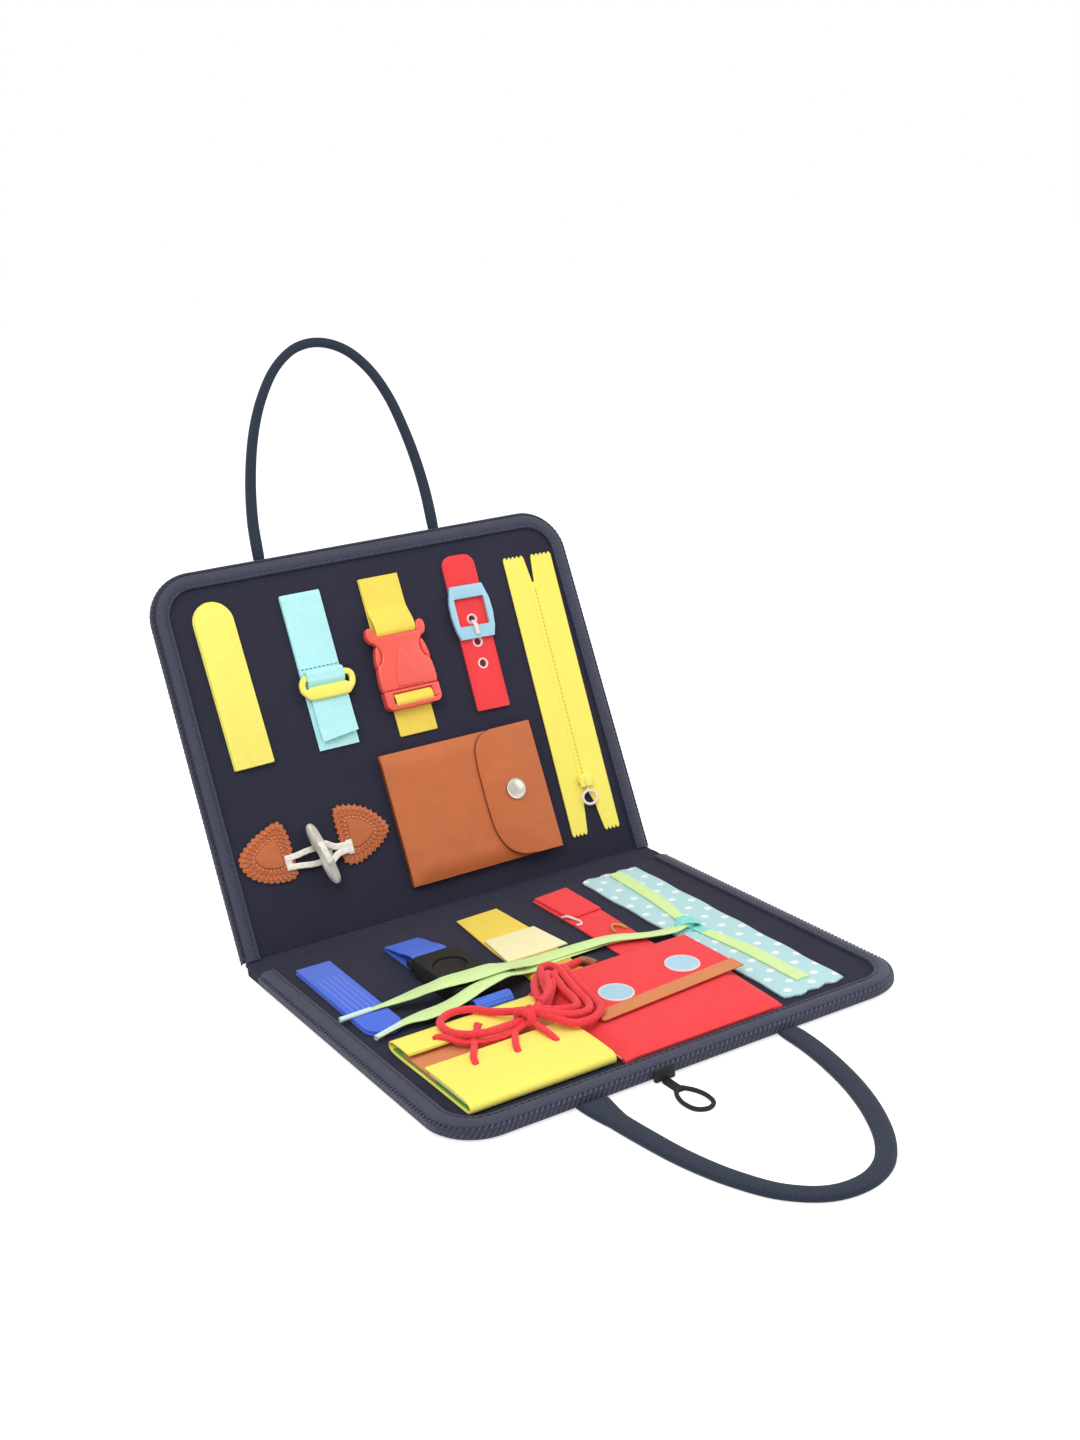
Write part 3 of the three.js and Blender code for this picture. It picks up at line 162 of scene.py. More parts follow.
def start_finish(name, reads, **constants):
    """A new material with its shader's constant values set, its tree and the coordinates that it reads"""
    finish = bpy.data.materials.new(name)
    finish.use_nodes = True
    tree = finish.node_tree
    for key, value in constants.items():
        tree.nodes["Principled BSDF"].inputs[key.replace("_", " ")].default_value = value
    return finish, tree, add(tree, "ShaderNodeTexCoord", reads)


def end_finish(finish, colour, tones=(), height=None, depth_mm=0.0, strength=1.0):
    """Shades the colour by each (pattern, low, high) in turn and adds relief of a real depth"""
    tree = finish.node_tree
    shader = tree.nodes["Principled BSDF"]
    for pattern, low, high in tones:
        level = add(tree, "ShaderNodeMapRange", "Result", {
            "Value": pattern, "From Min": 0.25, "From Max": 0.75, "To Min": low, "To Max": high})
        colour = add(tree, "ShaderNodeHueSaturation", "Color", {"Color": colour, "Value": level})
    tree.links.new(colour, shader.inputs["Base Color"])
    if height is not None:
        bump = add(tree, "ShaderNodeBump", "Normal", {
            "Height": height, "Distance": depth_mm * MM, "Strength": strength})
        tree.links.new(bump, shader.inputs["Normal"])
    return finish


def felt(name, colour, fibre_mm=1.2, mottle=0.03, bloom=0.08):
    """Needle-punched polyester felt: matt, with matted fibres and a soft bloom at grazing angles"""
    finish, tree, place = start_finish(name, "Object", Roughness=0.95, Sheen_Weight=bloom,
                                       Sheen_Roughness=0.6, Specular_IOR_Level=0.12)
    fibres = add(tree, "ShaderNodeTexNoise", "Fac", {
        "Vector": place, "Scale": 1 / (fibre_mm * MM), "Detail": 5.0, "Roughness": 0.75})
    clouds = add(tree, "ShaderNodeTexNoise", "Fac", {
        "Vector": place, "Scale": 1 / (38.0 * MM), "Detail": 2.0, "Roughness": 0.6})
    tones = ((clouds, 1 - mottle, 1 + mottle), (fibres, 1 - 1.6 * mottle, 1 + 1.2 * mottle))
    return end_finish(finish, rgba(colour), tones, fibres, 0.35, 0.7)


def webbing(name, colour, roughness=0.7, rib_mm=1.6, contrast=0.05):
    """Woven polypropylene webbing: lengthwise ribs and a finer pick across, twice as coarse to show"""
    finish, tree, own = start_finish(name, "UV", Roughness=roughness, Sheen_Weight=0.08,
                                     Specular_IOR_Level=0.35)
    ribs = add(tree, "ShaderNodeTexWave", "Fac", {
        "Vector": own, "Scale": WAVE_PERIOD / rib_mm, "Distortion": 0.15}, bands_direction="X")
    picks = add(tree, "ShaderNodeTexWave", "Fac", {
        "Vector": own, "Scale": WAVE_PERIOD / (rib_mm * 0.75), "Distortion": 0.3}, bands_direction="Y")
    weave = add(tree, "ShaderNodeMath", "Value", {0: ribs, 1: picks}, operation="MULTIPLY")
    worn = add(tree, "ShaderNodeTexNoise", "Fac", {
        "Vector": own, "Scale": 1 / 14.0, "Detail": 3.0, "Roughness": 0.6})
    # The weave darkens the colour in its grooves: painted shade that makes the ribs show; contrast sets
    # both it and the relief's depth
    tones = ((worn, 0.96, 1.04), (weave, 1 - contrast, 1 + contrast / 2))
    return end_finish(finish, rgba(colour), tones, weave, 4.4 * contrast, 0.6)


def ribbed_tape(name, colour, rib_mm=1.3, roughness=0.62):
    """Grosgrain binding tape: fine cross ribs with a low sheen, gathered here and there by its seam"""
    finish, tree, own = start_finish(name, "UV", Roughness=roughness, Sheen_Weight=0.2,
                                     Sheen_Roughness=0.4, Specular_IOR_Level=0.45)
    ribs = add(tree, "ShaderNodeTexWave", "Fac", {
        "Vector": own, "Scale": WAVE_PERIOD / rib_mm, "Distortion": 0.2}, bands_direction="Y")
    drawn = add(tree, "ShaderNodeMapping", "Vector", {"Vector": own, "Scale": (0.5, 1.0, 1.0)})
    puckers = add(tree, "ShaderNodeTexNoise", "Fac", {
        "Vector": drawn, "Scale": 1 / 9.0, "Detail": 3.0, "Roughness": 0.6})
    both = add(tree, "ShaderNodeMath", "Value", {0: ribs, 1: puckers}, operation="ADD")
    return end_finish(finish, rgba(colour), ((puckers, 0.9, 1.12), (ribs, 0.95, 1.03)), both, 0.3, 0.6)


def hook_loop(name, colour):
    """Hook-and-loop tape: a dense short pile with a faint grid of tufts"""
    finish, tree, own = start_finish(name, "UV", Roughness=0.9, Sheen_Weight=0.2, Specular_IOR_Level=0.25)
    tufts = add(tree, "ShaderNodeTexVoronoi", "Distance",
                {"Vector": own, "Scale": 1 / 1.7, "Randomness": 0.75})
    soft = add(tree, "ShaderNodeTexNoise", "Fac", {
        "Vector": own, "Scale": 1 / 10.0, "Detail": 3.0, "Roughness": 0.6})
    return end_finish(finish, rgba(colour), ((soft, 0.96, 1.04), (tufts, 1.01, 0.975)), tufts, 0.3, 0.5)


def satin_ribbon(name, colour):
    """Soft polyester ribbon: a close cross weave with a gentle shine along it"""
    finish, tree, own = start_finish(name, "UV", Roughness=0.6, Sheen_Weight=0.25, Sheen_Roughness=0.4)
    threads = add(tree, "ShaderNodeTexWave", "Fac", {
        "Vector": own, "Scale": WAVE_PERIOD / 1.1, "Distortion": 0.3}, bands_direction="Y")
    drawn = add(tree, "ShaderNodeMapping", "Vector", {"Vector": own, "Scale": (1.6, 0.5, 1.0)})
    creases = add(tree, "ShaderNodeTexNoise", "Fac", {
        "Vector": drawn, "Scale": 1 / 7.0, "Detail": 3.0, "Roughness": 0.6})
    both = add(tree, "ShaderNodeMath", "Value", {0: threads, 1: creases}, operation="ADD")
    tones = ((creases, 0.95, 1.05), (threads, 0.97, 1.02))
    return end_finish(finish, rgba(colour), tones, both, 0.25, 0.5)


def dotted_cotton(name, ground, dot):
    """Printed cotton: white polka dots in slanting rows on a pale ground"""
    spacing_mm, dot_mm = 11.5, 4.4
    finish, tree, own = start_finish(name, "UV", Roughness=0.85, Sheen_Weight=0.1, Specular_IOR_Level=0.3)
    turned = add(tree, "ShaderNodeMapping", "Vector",
                 {"Vector": own, "Rotation": (0, 0, math.radians(45))})
    cells = add(tree, "ShaderNodeTexVoronoi", "Distance", {
        "Vector": turned, "Scale": 1 / spacing_mm, "Randomness": 0.0}, voronoi_dimensions="2D")
    reach = dot_mm / 2 / spacing_mm
    inside = add(tree, "ShaderNodeMapRange", "Result", {
        "Value": cells, "From Min": reach * 0.85, "From Max": reach * 1.15, "To Min": 1.0, "To Max": 0.0})
    printed = add(tree, "ShaderNodeMix", MIXED, {
        MIX_SHARE: inside, MIX_A: rgba(ground), MIX_B: rgba(dot)}, data_type="RGBA")
    weave = add(tree, "ShaderNodeTexWave", "Fac", {
        "Vector": own, "Scale": WAVE_PERIOD / 0.9, "Distortion": 0.4}, bands_direction="X")
    return end_finish(finish, printed, ((weave, 0.97, 1.02),), weave, 0.12, 0.4)


def leather(name, colour):
    """Waxed split leather: a smooth face with fine pebbled grain and a cloudy tone, lighter where rubbed"""
    finish, tree, place = start_finish(name, "Object", Roughness=0.52, Specular_IOR_Level=0.4,
                                       Coat_Weight=0.06, Coat_Roughness=0.45)
    pebbles = add(tree, "ShaderNodeTexVoronoi", "Distance", {
        "Vector": place, "Scale": 1 / (1.5 * MM), "Randomness": 1.0})
    clouds = add(tree, "ShaderNodeTexNoise", "Fac", {
        "Vector": place, "Scale": 1 / (26.0 * MM), "Detail": 4.0, "Roughness": 0.6})
    drawn = add(tree, "ShaderNodeMapping", "Vector", {"Vector": place, "Scale": (0.35, 1.0, 1.0)})
    streaks = add(tree, "ShaderNodeTexNoise", "Fac", {
        "Vector": drawn, "Scale": 1 / (5.0 * MM), "Detail": 3.0, "Roughness": 0.6})
    tones = ((clouds, 0.92, 1.08), (streaks, 0.97, 1.04))
    return end_finish(finish, rgba(colour), tones, pebbles, 0.1, 0.35)


def moulded(name, colour, roughness=0.32, coat=0.3, gloss=0.5):
    """Injection-moulded plastic: an even gloss over a faint orange-peel skin"""
    finish, tree, place = start_finish(name, "Object", Roughness=roughness, IOR=1.49, Coat_Weight=coat,
                                       Coat_Roughness=0.18, Specular_IOR_Level=gloss)
    skin = add(tree, "ShaderNodeTexNoise", "Fac", {
        "Vector": place, "Scale": 1 / (2.6 * MM), "Detail": 2.0, "Roughness": 0.6})
    flow = add(tree, "ShaderNodeTexNoise", "Fac", {
        "Vector": place, "Scale": 1 / (22.0 * MM), "Detail": 1.0, "Roughness": 0.6})
    return end_finish(finish, rgba(colour), ((flow, 0.97, 1.03),), skin, 0.04, 0.25)


def plated(name, colour):
    """Nickel-plated steel: bright, with faint brushing and small scuffs"""
    finish, tree, place = start_finish(name, "Object", Metallic=1.0, Roughness=0.24)
    scuffs = add(tree, "ShaderNodeTexNoise", "Fac", {
        "Vector": place, "Scale": 1 / (1.4 * MM), "Detail": 4.0, "Roughness": 0.6})
    return end_finish(finish, rgba(colour), ((scuffs, 0.92, 1.05),), scuffs, 0.03, 0.2)


def polished_horn(name, pale, dark):
    """Imitation horn: polished resin with grey streaks that run along the bar"""
    finish, tree, own = start_finish(name, "UV", Roughness=0.3, IOR=1.54, Coat_Weight=0.4,
                                     Coat_Roughness=0.15)
    drawn = add(tree, "ShaderNodeMapping", "Vector", {"Vector": own, "Scale": (1.5, 0.35, 1.0)})
    streaks = add(tree, "ShaderNodeTexNoise", "Fac", {
        "Vector": drawn, "Scale": 1 / 6.0, "Detail": 4.0, "Roughness": 0.6})
    share = add(tree, "ShaderNodeMapRange", "Result",
                {"Value": streaks, "From Min": 0.38, "From Max": 0.66})
    tone = add(tree, "ShaderNodeMix", MIXED, {
        MIX_SHARE: share, MIX_A: rgba(pale), MIX_B: rgba(dark)}, data_type="RGBA")
    return end_finish(finish, tone)


def braid(name, colour, twist_mm=2.4, depth_mm=0.25):
    """Braided cotton cord: crossing plaits wound round it"""
    finish, tree, own = start_finish(name, "UV", Roughness=0.85, Sheen_Weight=0.15,
                                     Specular_IOR_Level=0.25)
    flipped = add(tree, "ShaderNodeMapping", "Vector", {"Vector": own, "Scale": (-1, 1, 1)})
    left, right = [add(tree, "ShaderNodeTexWave", "Fac", {
        "Vector": way, "Scale": WAVE_PERIOD / twist_mm, "Distortion": 0.1}, bands_direction="DIAGONAL")
        for way in (own, flipped)]
    plaits = add(tree, "ShaderNodeMath", "Value", {0: left, 1: right}, operation="MAXIMUM")
    # The colour darkens between the plaits: painted shade in the grooves
    return end_finish(finish, rgba(colour), ((plaits, 0.93, 1.02),), plaits, depth_mm, 0.7)


# The finer plaits of a sewing thread
THREAD = {"twist_mm": 1.2, "depth_mm": 0.1}


def make_finishes(colours):
    """Every material of the board, by the name that the pieces use"""
    return {
        "navy": felt("Navy polyester felt", colours.navy, fibre_mm=1.6, mottle=0.06, bloom=0.03),
        "board": felt("Grey pasteboard", 0x8C8270, fibre_mm=2.2, mottle=0.06),
        "red": felt("Red felt", colours.red, mottle=0.025),
        # Dark red for the painted shade inside the belt's eyelets
        "eyelet_shade_red": felt("Red felt in painted eyelet shade", 0x8A2E34),
        "lemon": felt("Lemon felt", colours.lemon, mottle=0.02),
        "cream": felt("Cream felt", 0xFBF3C0, mottle=0.02),
        "pale_rust": felt("Pale rust felt", 0xDE8C5A, mottle=0.04),
        "peach": felt("Peach felt edge", 0xF0B49A),
        # Dark brown felt for painted shadow: in the lace holes and under the tan flap's edge
        "painted_shadow_brown": felt("Painted shadow felt for lace holes and flap edge", 0x6A3A2A),
        "green": felt("Green lining felt", 0x6FB64A, mottle=0.04),
        "binding": ribbed_tape("Navy grosgrain binding", colours.trim),
        "zip_tape": ribbed_tape("Navy zip tape", 0x2B2D40, rib_mm=1.1, roughness=0.75),
        "strap": webbing("Navy handle strap", 0x202A3C, roughness=0.8, rib_mm=1.8),
        "yellow": webbing("Yellow webbing", 0xFFE35C),
        "amber": webbing("Amber backed webbing", 0xF2B238),
        "cyan": webbing("Pale cyan webbing", 0xBDF8FA),
        # A stronger contrast: deeper painted shade in the weave's grooves, and a deeper relief
        "blue": webbing("Royal blue webbing", 0x4E7CF6, roughness=0.45, rib_mm=2.6, contrast=0.2),
        "lemon_loop": hook_loop("Lemon hook-and-loop tape", 0xFFF374),
        "blue_loop": hook_loop("Blue hook-and-loop tape", 0x4C70E2),
        "dotted": dotted_cotton("Dotted cotton", 0xB9E0E3, 0xF2F8F8),
        "lime": satin_ribbon("Lime ribbon", colours.lime),
        "knot": satin_ribbon("Aqua knotted ribbon", 0x8FE3DC),
        "red_lace": braid("Red braided lace", 0xF0404A),
        "cream_cord": braid("Cream cotton cord", 0xF3EFE2),
        "navy_thread": braid("Navy sewing thread", 0x45475E, **THREAD),
        "lemon_thread": braid("Lemon thread", 0xE9D94E, **THREAD),
        "blue_line": braid("Pale blue thread", 0x7896F2, **THREAD),
        "red_thread": braid("Red thread", 0xD93A40, **THREAD),
        "tan_thread_highlight": braid("Pale tan thread with painted highlight", 0xE09A70, **THREAD),
        "tan": leather("Tan leather", colours.tan),
        "patch": leather("Whip-stitched tan leather", 0xBD6638),
        # One nylon coil in two tones: the lighter for the lower half's edge, the darker for the upper
        # half's, as painted light and painted shade
        "coil": moulded("Navy nylon zip coil", 0x4A4E66, roughness=0.6, coat=0.0),
        "shaded_coil": moulded("Navy nylon zip coil in painted shade", 0x32354A, roughness=0.7, coat=0.0),
        "red_plastic": moulded("Red acetal buckle", 0xF35A4C),
        "yellow_plastic": moulded("Lemon acetal slide", 0xFAF06A),
        "sky_plastic": moulded("Pale blue acetal", 0xA6D3E8, roughness=0.36),
        "pale_plastic": moulded("White acetal rim", 0xEFDDDD, roughness=0.4),
        "black": moulded("Olive black acetal buckle", 0x20221F, roughness=0.62, coat=0.0, gloss=0.25),
        "ochre": moulded("Ochre wire eye", 0xC99A3C, roughness=0.4, coat=0.2),
        "aglet": moulded("Pale blue aglet", 0xD8EEF4, roughness=0.3),
        "brown_aglet": moulded("Brown aglet", 0x9A5A3A, roughness=0.35),
        "horn": polished_horn("Grey horn resin", 0xDCD8CC, 0x9A968C),
        "steel": plated("Nickel-plated snap", 0xC4C0B4),
    }


# Filled with the materials before any piece is made
FINISHES = {}


# Shapes

def arc(x, y, radius, start, end, steps=10):
    """Points on an arc, with its angles in degrees"""
    angles = [math.radians(start + (end - start) * i / steps) for i in range(steps + 1)]
    return [(x + radius * math.cos(a), y + radius * math.sin(a)) for a in angles]


def slab(width, low, high, low_radius, high_radius):
    """A rectangle about x = 0 with its own corner radius at each end"""
    half = width / 2
    return (
        arc(half - low_radius, low + low_radius, low_radius, -90, 0)
        + arc(half - high_radius, high - high_radius, high_radius, 0, 90)
        + arc(high_radius - half, high - high_radius, high_radius, 90, 180)
        + arc(low_radius - half, low + low_radius, low_radius, 180, 270)
    )


def curve_through(points, steps):
    """Even steps along the centripetal curve that the part's own cords follow"""
    knots = [Vector(p) for p in points]
    knots = [2 * knots[0] - knots[1], *knots, 2 * knots[-1] - knots[-2]]
    fine, parts = [], 12
    for a, b, c, d in zip(knots, knots[1:], knots[2:], knots[3:]):
        spans = [max((q - p).length, 1e-6) ** 0.5 for p, q in ((a, b), (b, c), (c, d))]
        t1, t2, t3 = spans[0], spans[0] + spans[1], sum(spans)
        for i in range(parts):
            t = t1 + (t2 - t1) * i / parts
            p = a.lerp(b, t / t1)
            q = b.lerp(c, (t - t1) / (t2 - t1))
            r = c.lerp(d, (t - t2) / (t3 - t2))
            fine.append(p.lerp(q, t / t2).lerp(q.lerp(r, (t - t1) / (t3 - t1)), (t - t1) / (t2 - t1)))
    fine.append(knots[-2])
    return even_steps(fine, steps)


def even_steps(points, steps):
    """Points spaced evenly along a line of points"""
    points = [Vector(p) for p in points]
    travel = [0.0]
    for p, q in zip(points, points[1:]):
        travel.append(travel[-1] + (q - p).length)
    spaced = []
    k = 0
    for i in range(steps + 1):
        target = travel[-1] * i / steps
        while k < len(points) - 2 and travel[k + 1] < target:
            k += 1
        span = max(travel[k + 1] - travel[k], 1e-9)
        spaced.append(points[k].lerp(points[k + 1], (target - travel[k]) / span))
    return spaced


def path_length(points):
    """The length of a line of points"""
    return sum((Vector(q) - Vector(p)).length for p, q in zip(points, points[1:]))


def runs(points):
    """The direction of travel at each point"""
    last = len(points) - 1
    return [(points[min(i + 1, last)] - points[max(i - 1, 0)]).normalized() for i in range(last + 1)]


def cord_stations(points):
    """Stations that carry a round section along a line without twist"""
    directions = runs(points)
    across = directions[0].cross(LEVEL).normalized()
    stations = []
    for p, run in zip(points, directions):
        across = (across - run * across.dot(run)).normalized()
        stations.append((p, across, across.cross(run)))
    return stations


def flat_stations(points):
    """Stations that keep a band level across its run"""
    stations = []
    for p, run in zip(points, runs(points)):
        across = Vector((-run.y, run.x, 0)).normalized()
        stations.append((p, across, run.cross(across)))
    return stations


def fold_stations(points):
    """Stations for webbing that folds in the upright plane through its length"""
    side = Vector((1, 0, 0))
    return [(p, side, side.cross(run)) for p, run in zip(points, runs(points))]


def ring_section(radius, sides):
    """A round section"""
    return arc(0, 0, radius, 0, 360 - 360 / sides, sides - 1)


def band_section(width, thick):
    """A flat section with rounded selvages"""
    radius = thick * 0.45
    side, flat = width / 2 - radius, thick / 2 - radius
    section = []
    for x, y, start in ((side, -flat, -90), (side, flat, 0), (-side, flat, 90), (-side, -flat, 180)):
        section += arc(x, y, radius, start, start + 90, 2)
    return section


def cushion_section(wide, thick):
    """A soft flattened oval"""
    sides, side_power, top_power = 20, 0.55, 0.7
    points = []
    for i in range(sides):
        a = math.tau * i / sides
        x = math.copysign(abs(math.cos(a)) ** side_power, math.cos(a))
        y = math.copysign(abs(math.sin(a)) ** top_power, math.sin(a))
        points.append((wide / 2 * x, thick / 2 * y))
    return points


def sweep(bm, stations, sections, finish=0, capped=True):
    """Skins closed sections along stations; the map is the distance round and along, in millimetres"""
    if isinstance(sections[0][0], (int, float)):
        sections = [sections] * len(stations)
    rows, sides = len(stations) - 1, len(sections[0])
    uv = bm.loops.layers.uv.verify()
    made = bmesh.ops.create_grid(bm, x_segments=rows, y_segments=sides, size=1.0)["verts"]
    spot = {v: (round((v.co.x + 1) / 2 * rows), round((v.co.y + 1) / 2 * sides)) for v in made}
    along = [0.0]
    for (p, _, _), (q, _, _) in zip(stations, stations[1:]):
        along.append(along[-1] + (q - p).length)
    widest = max(sections, key=lambda s: sum(abs(x) for x, _ in s))
    around = [0.0]
    for (x, y), (x2, y2) in zip(widest, widest[1:] + widest[:1]):
        around.append(around[-1] + math.hypot(x2 - x, y2 - y))
    for face in {f for v in made for f in v.link_faces}:
        face.material_index = finish
        for loop in face.loops:
            i, j = spot[loop.vert]
            loop[uv].uv = (around[j], along[i])
    for v, (i, j) in spot.items():
        place, across, up = stations[i]
        x, y = sections[i][j % sides]
        v.co = place + across * x + up * y
    bmesh.ops.remove_doubles(bm, verts=made, dist=1e-4)
    if capped:
        ends = bmesh.ops.holes_fill(bm, edges=[e for e in bm.edges if e.is_boundary], sides=0)["faces"]
        for face in ends:
            face.material_index = finish


def round_cord(line, radius, sides):
    """A round cord along a line"""
    bm = bmesh.new()
    sweep(bm, cord_stations(line), ring_section(radius, sides))
    return bm


def folded_webbing(route, width, thick, steps):
    """Webbing, or a folded felt, that follows a side view of (y, z) points"""
    bm = bmesh.new()
    line = curve_through([(0, y, z) for y, z in route], steps)
    sweep(bm, fold_stations(line), band_section(width, thick))
    return bm


def turned_edges(bm, degrees):
    """The edges at which the surface turns by more than an angle"""
    return [e for e in bm.edges if e.is_manifold and e.calc_face_angle() > math.radians(degrees)]


def round_edges(bm, edges, size, segments):
    """Rounds the edges over and keeps the finish of the faces beside them"""
    bmesh.ops.bevel(bm, geom=edges, offset=size, offset_type="OFFSET", segments=segments, profile=0.5,
                    affect="EDGES", material=-1, clamp_overlap=True)


def plate(outline, bottom, thick, bevel, segments=2, holes=()):
    """A flat piece of even thickness with rounded rims, and any holes cut through it"""
    bm = bmesh.new()
    for loop in (outline, *holes):
        corners = [bm.verts.new((x, y, bottom)) for x, y in loop]
        for a, b in zip(corners, corners[1:] + corners[:1]):
            bm.edges.new((a, b))
    if holes:
        bmesh.ops.triangle_fill(bm, edges=bm.edges[:], use_beauty=True, use_dissolve=False)
    else:
        bmesh.ops.contextual_create(bm, geom=bm.verts[:])
    grown = bmesh.ops.extrude_face_region(bm, geom=bm.faces[:], use_keep_orig=True)["geom"]
    lifted = [g for g in grown if isinstance(g, bmesh.types.BMVert)]
    bmesh.ops.translate(bm, verts=lifted, vec=(0, 0, thick))
    bmesh.ops.recalc_face_normals(bm, faces=bm.faces[:])
    rims = [e for e in turned_edges(bm, 60) if abs(e.verts[0].co.z - e.verts[1].co.z) < 1e-6]
    round_edges(bm, rims, bevel, segments)
    mark_level(bm, 0.0)
    return bm


def mark_level(bm, least_area):
    """Marks the faces to shade without a bulge: the large ones or, with no least area, the level ones"""
    bm.normal_update()
    level = bm.faces.layers.int.new("level_face")
    for face in bm.faces:
        face[level] = int(face.calc_area() > least_area if least_area else abs(face.normal.z) > 0.999)


def lathe(bm, profile, centre, steps, turn=None, finish=0):
    """Spins a profile of (radius, height) about the upright, turns it and sets it on a centre"""
    before = set(bm.faces)
    corners = [bm.verts.new((r, 0, z)) for r, z in profile]
    edges = [bm.edges.new(pair) for pair in zip(corners, corners[1:])]
    bmesh.ops.spin(bm, geom=corners + edges, cent=(0, 0, 0), axis=(0, 0, 1), angle=math.tau, steps=steps,
                   use_merge=True)
    new_faces = [f for f in bm.faces if f not in before]
    new_verts = list({v for f in new_faces for v in f.verts})
    for face in new_faces:
        face.material_index = finish
    bmesh.ops.transform(bm, matrix=Matrix.Translation(centre) @ (turn or Matrix()), verts=new_verts)
    bmesh.ops.remove_doubles(bm, verts=new_verts, dist=1e-4)


def give_finish(corners, finish):
    """Gives the faces at these corners one of the piece's finishes"""
    for face in {f for v in corners for f in v.link_faces}:
        face.material_index = finish


def block(bm, lo, hi, bevel, segments=2, finish=0):
    """A box between two corners with rounded edges"""
    size = [b - a for a, b in zip(lo, hi)]
    middle = [(a + b) / 2 for a, b in zip(lo, hi)]
    made = bmesh.ops.create_cube(bm, size=1.0)["verts"]
    bmesh.ops.scale(bm, verts=made, vec=size)
    bmesh.ops.translate(bm, verts=made, vec=middle)
    give_finish(made, finish)
    round_edges(bm, list({e for v in made for e in v.link_edges}), bevel, segments)


def bead(bm, middle, turn, size, finish, subdivisions=1):
    """A small rounded grain, turned and stretched to its half sizes"""
    matrix = Matrix.Translation(middle) @ turn @ Matrix.Diagonal((*size, 1.0))
    made = bmesh.ops.create_icosphere(bm, subdivisions=subdivisions, radius=1.0, matrix=matrix)["verts"]
    give_finish(made, finish)
    return made


def stitches(bm, points, pitch, long, thick, finish=1):
    """A row of sewn stitches, each a grain of thread along the row"""
    row = even_steps(points, max(int(path_length(points) / pitch), 1))
    for p, q in zip(row, row[1:]):
        turn = Vector((1, 0, 0)).rotation_difference((q - p).normalized()).to_matrix().to_4x4()
        bead(bm, (p + q) / 2, turn, (long / 2, thick, thick * 0.8), finish)


def whip_stitches(bm, line, pitch, long, wide, tall, finish):
    """Raised thread ridges that lie across a closed line"""
    row = even_steps(line, int(path_length(line) / pitch))
    for p, q in zip(row, row[1:]):
        run = (q - p).normalized()
        turn = Matrix((Vector((run.y, -run.x, 0)), run, LEVEL)).transposed().to_4x4()
        bead(bm, p, turn, (long / 2, wide / 2, tall), finish, 2)


def join_mesh(bm, other):
    """Adds another mesh's faces to this one and frees the other"""
    spare = bpy.data.meshes.new("spare")
    other.to_mesh(spare)
    other.free()
    bm.from_mesh(spare)
    bpy.data.meshes.remove(spare)


def planar_map(bm):
    """Maps a mesh that has no map yet by its place on the half, in millimetres"""
    if bm.loops.layers.uv:
        return
    uv = bm.loops.layers.uv.verify()
    for face in bm.faces:
        for loop in face.loops:
            loop[uv].uv = (loop.vert.co.x, loop.vert.co.y)


def piece(name, bm, place, finishes, body, slot, *nodes, crease=40):
    """Closes a mesh as a finished piece that rides on a body and stands for its nodes"""
    planar_map(bm)
    bmesh.ops.recalc_face_normals(bm, faces=bm.faces[:])
    level = bm.faces.layers.int.get("level_face")
    for face in bm.faces:
        face.smooth = not (level and face[level])
    bm.transform(place)
    mesh = bpy.data.meshes.new(name)
    bm.to_mesh(mesh)
    bm.free()
    mesh.set_sharp_from_angle(angle=math.radians(crease))
    for finish in finishes:
        mesh.materials.append(FINISHES[finish])
    made = bpy.data.objects.new(name, mesh)
    bpy.context.scene.collection.objects.link(made)
    if body:
        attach(made, body)
    if nodes:
        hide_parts(*nodes)
    return made


def dressed(name, place, finish, body, slot, node, bevel, segments):
    """A rigid node's own shape, merged, with moulded edges"""
    bm = bmesh.new()
    bm.from_mesh(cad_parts[node].data)
    for layer in list(bm.loops.layers.uv):
        bm.loops.layers.uv.remove(layer)
    bmesh.ops.remove_doubles(bm, verts=bm.verts[:], dist=2e-6)
    bmesh.ops.dissolve_limit(bm, angle_limit=math.radians(1), verts=bm.verts[:], edges=bm.edges[:])
    bm.transform(place.inverted())
    round_edges(bm, turned_edges(bm, 35), bevel, segments)
    mark_level(bm, 40.0)
    piece(name, bm, place, [finish], body, slot, node)


def keep_node(node, finish):
    """Gives a hidden inner node a material of its own"""
    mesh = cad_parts[node].data
    mesh.materials.clear()
    mesh.materials.append(FINISHES[finish])


# Case

def half_outline(case, inset, away):
    """A half's outline, from its hinge edge out"""
    width, depth, corner = case.width / MM, case.depth / MM, case.corner / MM
    points = slab(width - 2 * inset, HINGE_GAP, depth - inset, 6.0, corner - inset)
    return [(x, away * y) for x, y in points]


def rim_line(case, inset, away):
    """Stations round the three free sides: place, inward and up"""
    steps, far_steps = 24, 16
    side, far = case.width / MM / 2 - inset, case.depth / MM - inset
    radius = case.corner / MM - inset
    line = [((-side, HINGE_GAP + (far - radius - HINGE_GAP) * i / steps), (1, 0)) for i in range(steps)]
    for i in range(steps + 1):
        a = math.pi - math.pi / 2 * i / steps
        spot = (-side + radius + radius * math.cos(a), far - radius + radius * math.sin(a))
        line.append((spot, (-math.cos(a), -math.sin(a))))
    stride = (side - radius) / far_steps
    line += [((-side + radius + stride * i, far), (0, -1)) for i in range(1, far_steps)]
    line += [((0.0, far), (0, -1))] + [((-x, y), (-nx, ny)) for (x, y), (nx, ny) in reversed(line)]
    return [(Vector((x, away * y, 0)), Vector((nx, away * ny, 0)), LEVEL) for (x, y), (nx, ny) in line]


